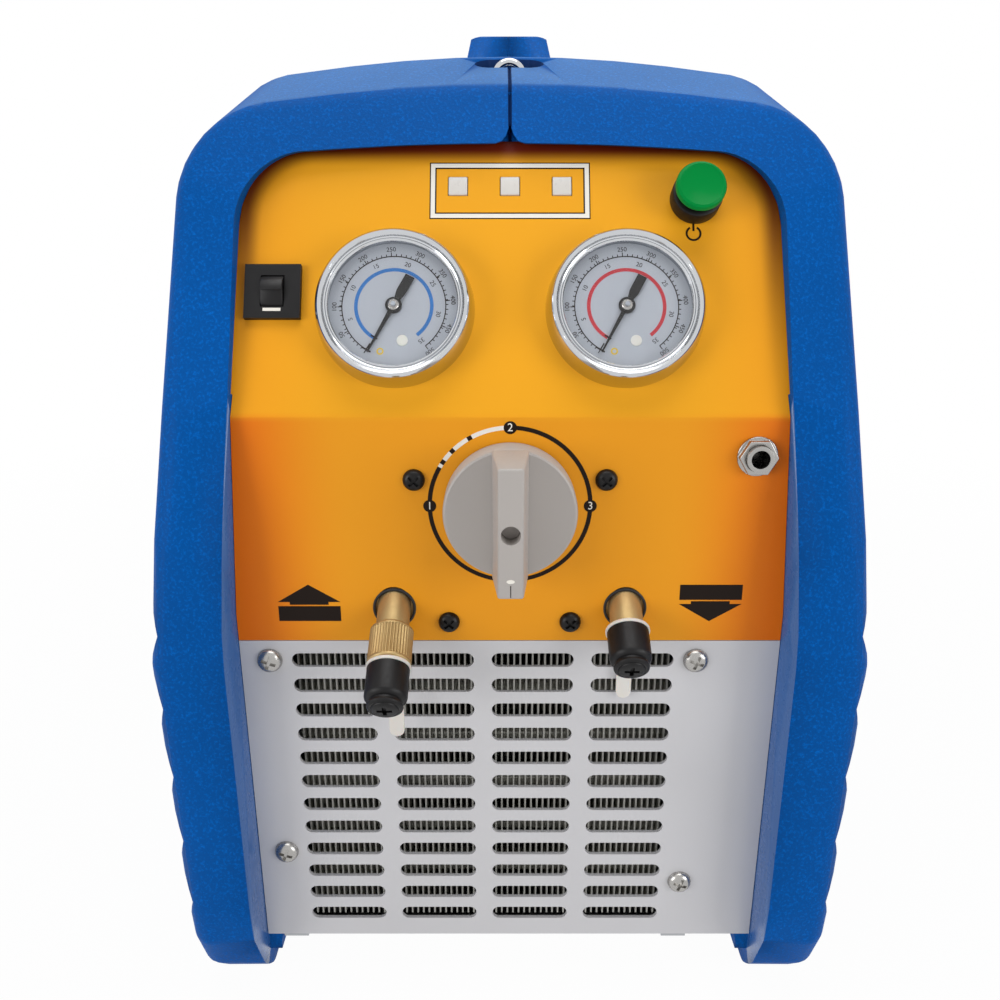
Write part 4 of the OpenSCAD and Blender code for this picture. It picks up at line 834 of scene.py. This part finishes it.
class RECOVERY_OT_switches(bpy.types.Operator):
    """Start button, breaker, lamps and jack"""

    bl_idname = "recovery.switches"
    bl_label = "Switches and lamps"

    def border(self, width, height, stroke, thick):
        """A rectangular printed line."""
        obj = box_plate(width, height, thick)
        return cut(obj, settle(box_plate(width - 2 * stroke, height - 2 * stroke, 3 * thick), move(y=thick)))

    def execute(self, context):
        sizes = context.scene.machine_sizes
        thick = sizes.print_t / MM
        spot = on_slope(sizes, sizes.button_x, sizes.button_up)
        collar = lathe([
            (0, 1.7), (6.56, 1.7), (6.56, 6.0), (6.85, 6.4), (7.8, 6.4), (8.5, 6.1), (8.8, 5.4), (8.8, 0.6),
            (8.6, 0), (6, 0), (6, -18), (0, -18)], 96)
        stand_in(settle(collar, spot), "button_collar")
        button = lathe([
            (0, 5), (6.5, 5), (6.5, 9.6), (8.3, 9.6), (8.6, 10.0), (8.6, 11.2), (8.2, 11.9), (7.4, 12.2),
            (7.0, 12.0), (0, 12.1)], 96)
        stand_in(settle(button, spot), "start_button")
        sign = joined([band(2.05, 2.75, thick, 30, 300), box_plate(0.7, 2.6, thick, 0, 2.2)])
        dress(settle(sign, spot @ move(-0.7, 0, -12.1)), "power_sign", HOUSING, "orange_panel", "ink_dark")

        for node, edge in (("breaker_body", 0.4), ("breaker_rocker", 0.35), ("lamp_windows", 0.3)):
            stand_in(smooth(rounded(skin_of(node), edge), 35), node)
        for node, edge in (("jack_body", 0.5), ("jack_nut", 0.5)):
            stand_in(smooth(rounded(skin_of(node), edge, 3), 35), node, "bright_steel")
        line = settle(box_plate(6.1, 1.1, thick), on_slope(sizes, *BREAKER_AT) @ move(y=-2.2, z=-6.6))
        dress(line, "breaker_line", HOUSING, "black_plastic", "ink_white")
        lamps = on_slope(sizes, 0, sizes.lamp_up)
        rim = move(z=-1.65)
        for name, width, height, stroke, deep, ink in (
            ("lamp_border_edge", 56.2, 20.9, 2.4, thick * 0.6, "ink_dark"),
            ("lamp_border", 55.4, 20.1, 1.5, thick, "ink_white"),
        ):
            line = settle(self.border(width, height, stroke, deep), lamps @ rim)
            dress(line, name, HOUSING, "orange_panel", ink)
        return {"FINISHED"}


class RECOVERY_OT_ports(bpy.types.Operator):
    """Ports, filter, caps, cap straps and the arrow plates beside them"""

    bl_idname = "recovery.ports"
    bl_label = "Ports"

    def cap(self):
        """A bored cap with a neck, a flanged end and a cross recess."""
        obj = lathe([
            (0, 12), (5.0, 12), (5.0, 0), (7.4, 0), (7.4, 10.6), (7.2, 11.4), (6.5, 12.2), (5.7, 12.6), (5.7, 13.3),
            (6.1, 13.5), (6.3, 14.2), (6.1, 14.8), (5.4, 15.2), (4.7, 15.1), (4.5, 15.5), (3.6, 15.9), (0, 16.0)], 72)
        for turn in (0, 90):
            cut(obj, settle(box_plate(5.2, 1.4, 3), clock(turn) @ move(y=-14.7)))
        return smooth(obj, 35)

    def execute(self, context):
        sizes = context.scene.machine_sizes
        thick = sizes.print_t / MM
        for node, edge in (
            ("inlet_port", 0.3), ("outlet_port", 0.3), ("inlet_filter", 0.12),
            ("inlet_cap_strap", 0.25), ("outlet_cap_strap", 0.25),
        ):
            stand_in(smooth(rounded(skin_of(node), edge), 35), node)
        for name, x in (("inlet", -SHADE_RING_X), ("outlet", SHADE_RING_X)):
            node = name + "_cap"
            axis = AXIS[node + "_off"]
            tilt = Matrix.Rotation(math.atan2(-axis.z, -axis.y), 4, "X")
            place = Matrix.Translation(centres(node)[0]) @ tilt @ move(y=8)
            stand_in(settle(self.cap(), place), node)
            # Painted shade: a thin black ring stands for the dark gap round each port's hole in the panel
            painted_shade_ring = lathe([(6.8, 0), (7.8, 0), (7.8, 0.2), (7.3, 0.5), (6.8, 0.3), (6.8, 0)], 64)
            dress(settle(painted_shade_ring, on_panel(x, SHADE_RING_UP)), name + "_grommet", HOUSING, "black_rubber", "black_rubber")
        half = 2.8
        for name, x, out, top, drop in (("inlet", -41.2, 10, 136.5, 15.5), ("outlet", 42.2, 1.6, 152, 20)):
            end = [arc_point(0, half - drop, half, a) for a in range(180, 361, 20)]
            tail = rounded(plate([(half, 0), (-half, 0), *end], 1.0), 0.25)
            place = Matrix.Translation((x * MM, PIVOT["selector_turn"].y, top * MM)) @ move(y=-out)
            dress(settle(tail, place), name + "_strap_tail", HOUSING, "pale_plastic", "pale_plastic")
        stem = [(-11.3, 0.4), (-7, 0.4), (-7, -0.7), (7, -0.7), (7, 0.4), (11.3, 0.4), (0, 7.2)]
        for name, side, up in (("inlet", -1, 1), ("outlet", 1, -1)):
            head = [(x, up * z) for x, z in stem]
            arrow = joined([box_plate(22.5, 5.9, thick, 0, up * -4.2), plate(head[::up], thick)])
            place = on_panel(side * sizes.arrow_x, sizes.arrow_up)
            dress(settle(arrow, place), name + "_arrow", HOUSING, "orange_panel", "ink_dark")
        return {"FINISHED"}


class RECOVERY_OT_details(bpy.types.Operator):
    """Strap eye, power inlet and the pieces of the drive that show through the slots"""

    bl_idname = "recovery.details"
    bl_label = "Details"

    def execute(self, context):
        for node, edge in (("strap_eye", 0.2), ("power_inlet", 0.4)):
            stand_in(smooth(rounded(skin_of(node), edge), 35), node)
        fins = modify(skin_of("condenser_fins"), "DISPLACE", strength=0.3 * MM, mid_level=0.0, direction="NORMAL")
        stand_in(fins, "condenser_fins")
        for node in (
            "condenser_tubes", "return_bends", "fan", "fan_shroud", "suction_pipe", "discharge_pipe", "outlet_pipe",
        ):
            stand_in(smooth(skin_of(node), 35), node)
        return {"FINISHED"}


class RECOVERY_OT_stage(bpy.types.Operator):
    """Floor, backdrop, lamps and camera"""

    bl_idname = "recovery.stage"
    bl_label = "Stage"

    def seen(self, tree):
        """One where the camera, a reflection or a lens looks straight at the surface."""
        path = add(tree, "ShaderNodeLightPath")
        direct = maths(tree, "MAXIMUM", path.outputs["Is Camera Ray"], path.outputs["Is Glossy Ray"])
        return maths(tree, "MAXIMUM", direct, path.outputs["Is Transmission Ray"])

    def floor(self):
        """A pale floor that takes a soft shadow near the machine and is white farther off."""
        bpy.ops.object.select_all(action="DESELECT")
        bpy.ops.mesh.primitive_plane_add(size=14)
        floor = bpy.context.object
        floor.name = "floor"
        material = bpy.data.materials.new("pale_floor")
        material.use_nodes = True
        tree = material.node_tree
        tree.nodes.clear()
        where = add(tree, "ShaderNodeTexCoord").outputs["Object"]
        away = add(tree, "ShaderNodeVectorMath", {0: where}, operation="LENGTH").outputs["Value"]
        near, far, shadowed = 0.3, 0.9, 0.97
        white = remap(tree, away, near, far, shadowed, 1.0)
        share = maths(tree, "MULTIPLY", self.seen(tree), white)
        plain = add(tree, "ShaderNodeBsdfDiffuse", {"Color": (0.8, 0.8, 0.8, 1)})
        glow = add(tree, "ShaderNodeEmission", {"Color": (1, 1, 1, 1), "Strength": 1.0})
        mixed = add(tree, "ShaderNodeMixShader", {"Fac": share, 1: plain.outputs[0], 2: glow.outputs[0]})
        add(tree, "ShaderNodeOutputMaterial", {"Surface": mixed.outputs[0]})
        floor.data.materials.append(material)

    def backdrop(self, scene):
        world = bpy.data.worlds.new("studio")
        world.use_nodes = True
        tree = world.node_tree
        tree.nodes.clear()
        fill = add(tree, "ShaderNodeBackground", {"Color": (0.97, 0.98, 1, 1), "Strength": 0.28})
        white = add(tree, "ShaderNodeBackground", {"Color": (1, 1, 1, 1), "Strength": 1.0})
        mixed = add(tree, "ShaderNodeMixShader", {"Fac": self.seen(tree), 1: fill.outputs[0], 2: white.outputs[0]})
        add(tree, "ShaderNodeOutputWorld", {"Surface": mixed.outputs[0]})
        scene.world = world

    def execute(self, context):
        stage = context.scene.machine_stage
        self.floor()
        self.backdrop(context.scene)
        middle = Vector((0, 0, 0.18))
        for name, place, size, power in (
            ("top_softbox", (0, -0.1, 1.4), 1.0, 9.5),
            ("left_softbox", (-1.1, -1.0, 0.45), 0.7, 7.6),
            ("right_softbox", (1.1, -1.0, 0.45), 0.7, 7.6),
        ):
            bpy.ops.object.light_add(type="AREA", location=place)
            lamp = context.object
            lamp.name = name
            lamp.data.size = size
            lamp.data.energy = power
            lamp.rotation_euler = (middle - Vector(place)).to_track_quat("-Z", "Y").to_euler()

        panel_y = PIVOT["selector_turn"].y
        eye = (stage.aside, panel_y - stage.distance, stage.height)
        bpy.ops.object.camera_add(location=eye, rotation=(math.pi / 2 - stage.pitch, 0, 0))
        camera = context.object
        camera.data.lens = stage.lens
        camera.data.sensor_width = 36
        camera.data.shift_x = stage.shift
        camera.data.clip_start = 0.01
        context.scene.camera = camera
        context.scene.view_settings.view_transform = "Standard"
        return {"FINISHED"}


class RECOVERY_PT_panel(bpy.types.Panel):
    """Sidebar list of the machine's pieces"""

    bl_idname = "RECOVERY_PT_panel"
    bl_label = "Recovery Machine"
    bl_space_type = "VIEW_3D"
    bl_region_type = "UI"
    bl_category = "Recovery Machine"

    def draw(self, context):
        for operator in OPERATORS:
            self.layout.operator(operator.bl_idname)
        for group in (context.scene.machine_sizes, context.scene.machine_colours, context.scene.machine_stage):
            box = self.layout.box()
            for key in group.bl_rna.properties.keys():
                if key not in ("rna_type", "name"):
                    box.prop(group, key)


OPERATORS = (
    RECOVERY_OT_finishes, RECOVERY_OT_shells, RECOVERY_OT_fasteners, RECOVERY_OT_gauges, RECOVERY_OT_selector,
    RECOVERY_OT_switches, RECOVERY_OT_ports, RECOVERY_OT_details, RECOVERY_OT_stage)
CLASSES = (MachineSizes, MachineColours, MachineStage, *OPERATORS, RECOVERY_PT_panel)


def register():
    for cls in CLASSES:
        bpy.utils.register_class(cls)
    bpy.types.Scene.machine_sizes = bpy.props.PointerProperty(type=MachineSizes)
    bpy.types.Scene.machine_colours = bpy.props.PointerProperty(type=MachineColours)
    bpy.types.Scene.machine_stage = bpy.props.PointerProperty(type=MachineStage)


def unregister():
    del bpy.types.Scene.machine_stage, bpy.types.Scene.machine_colours, bpy.types.Scene.machine_sizes
    for cls in reversed(CLASSES):
        bpy.utils.unregister_class(cls)


def main():
    register()
    for operator in OPERATORS:
        group, name = operator.bl_idname.split(".")
        getattr(getattr(bpy.ops, group), name)()


if __name__ == "__main__":
    main()
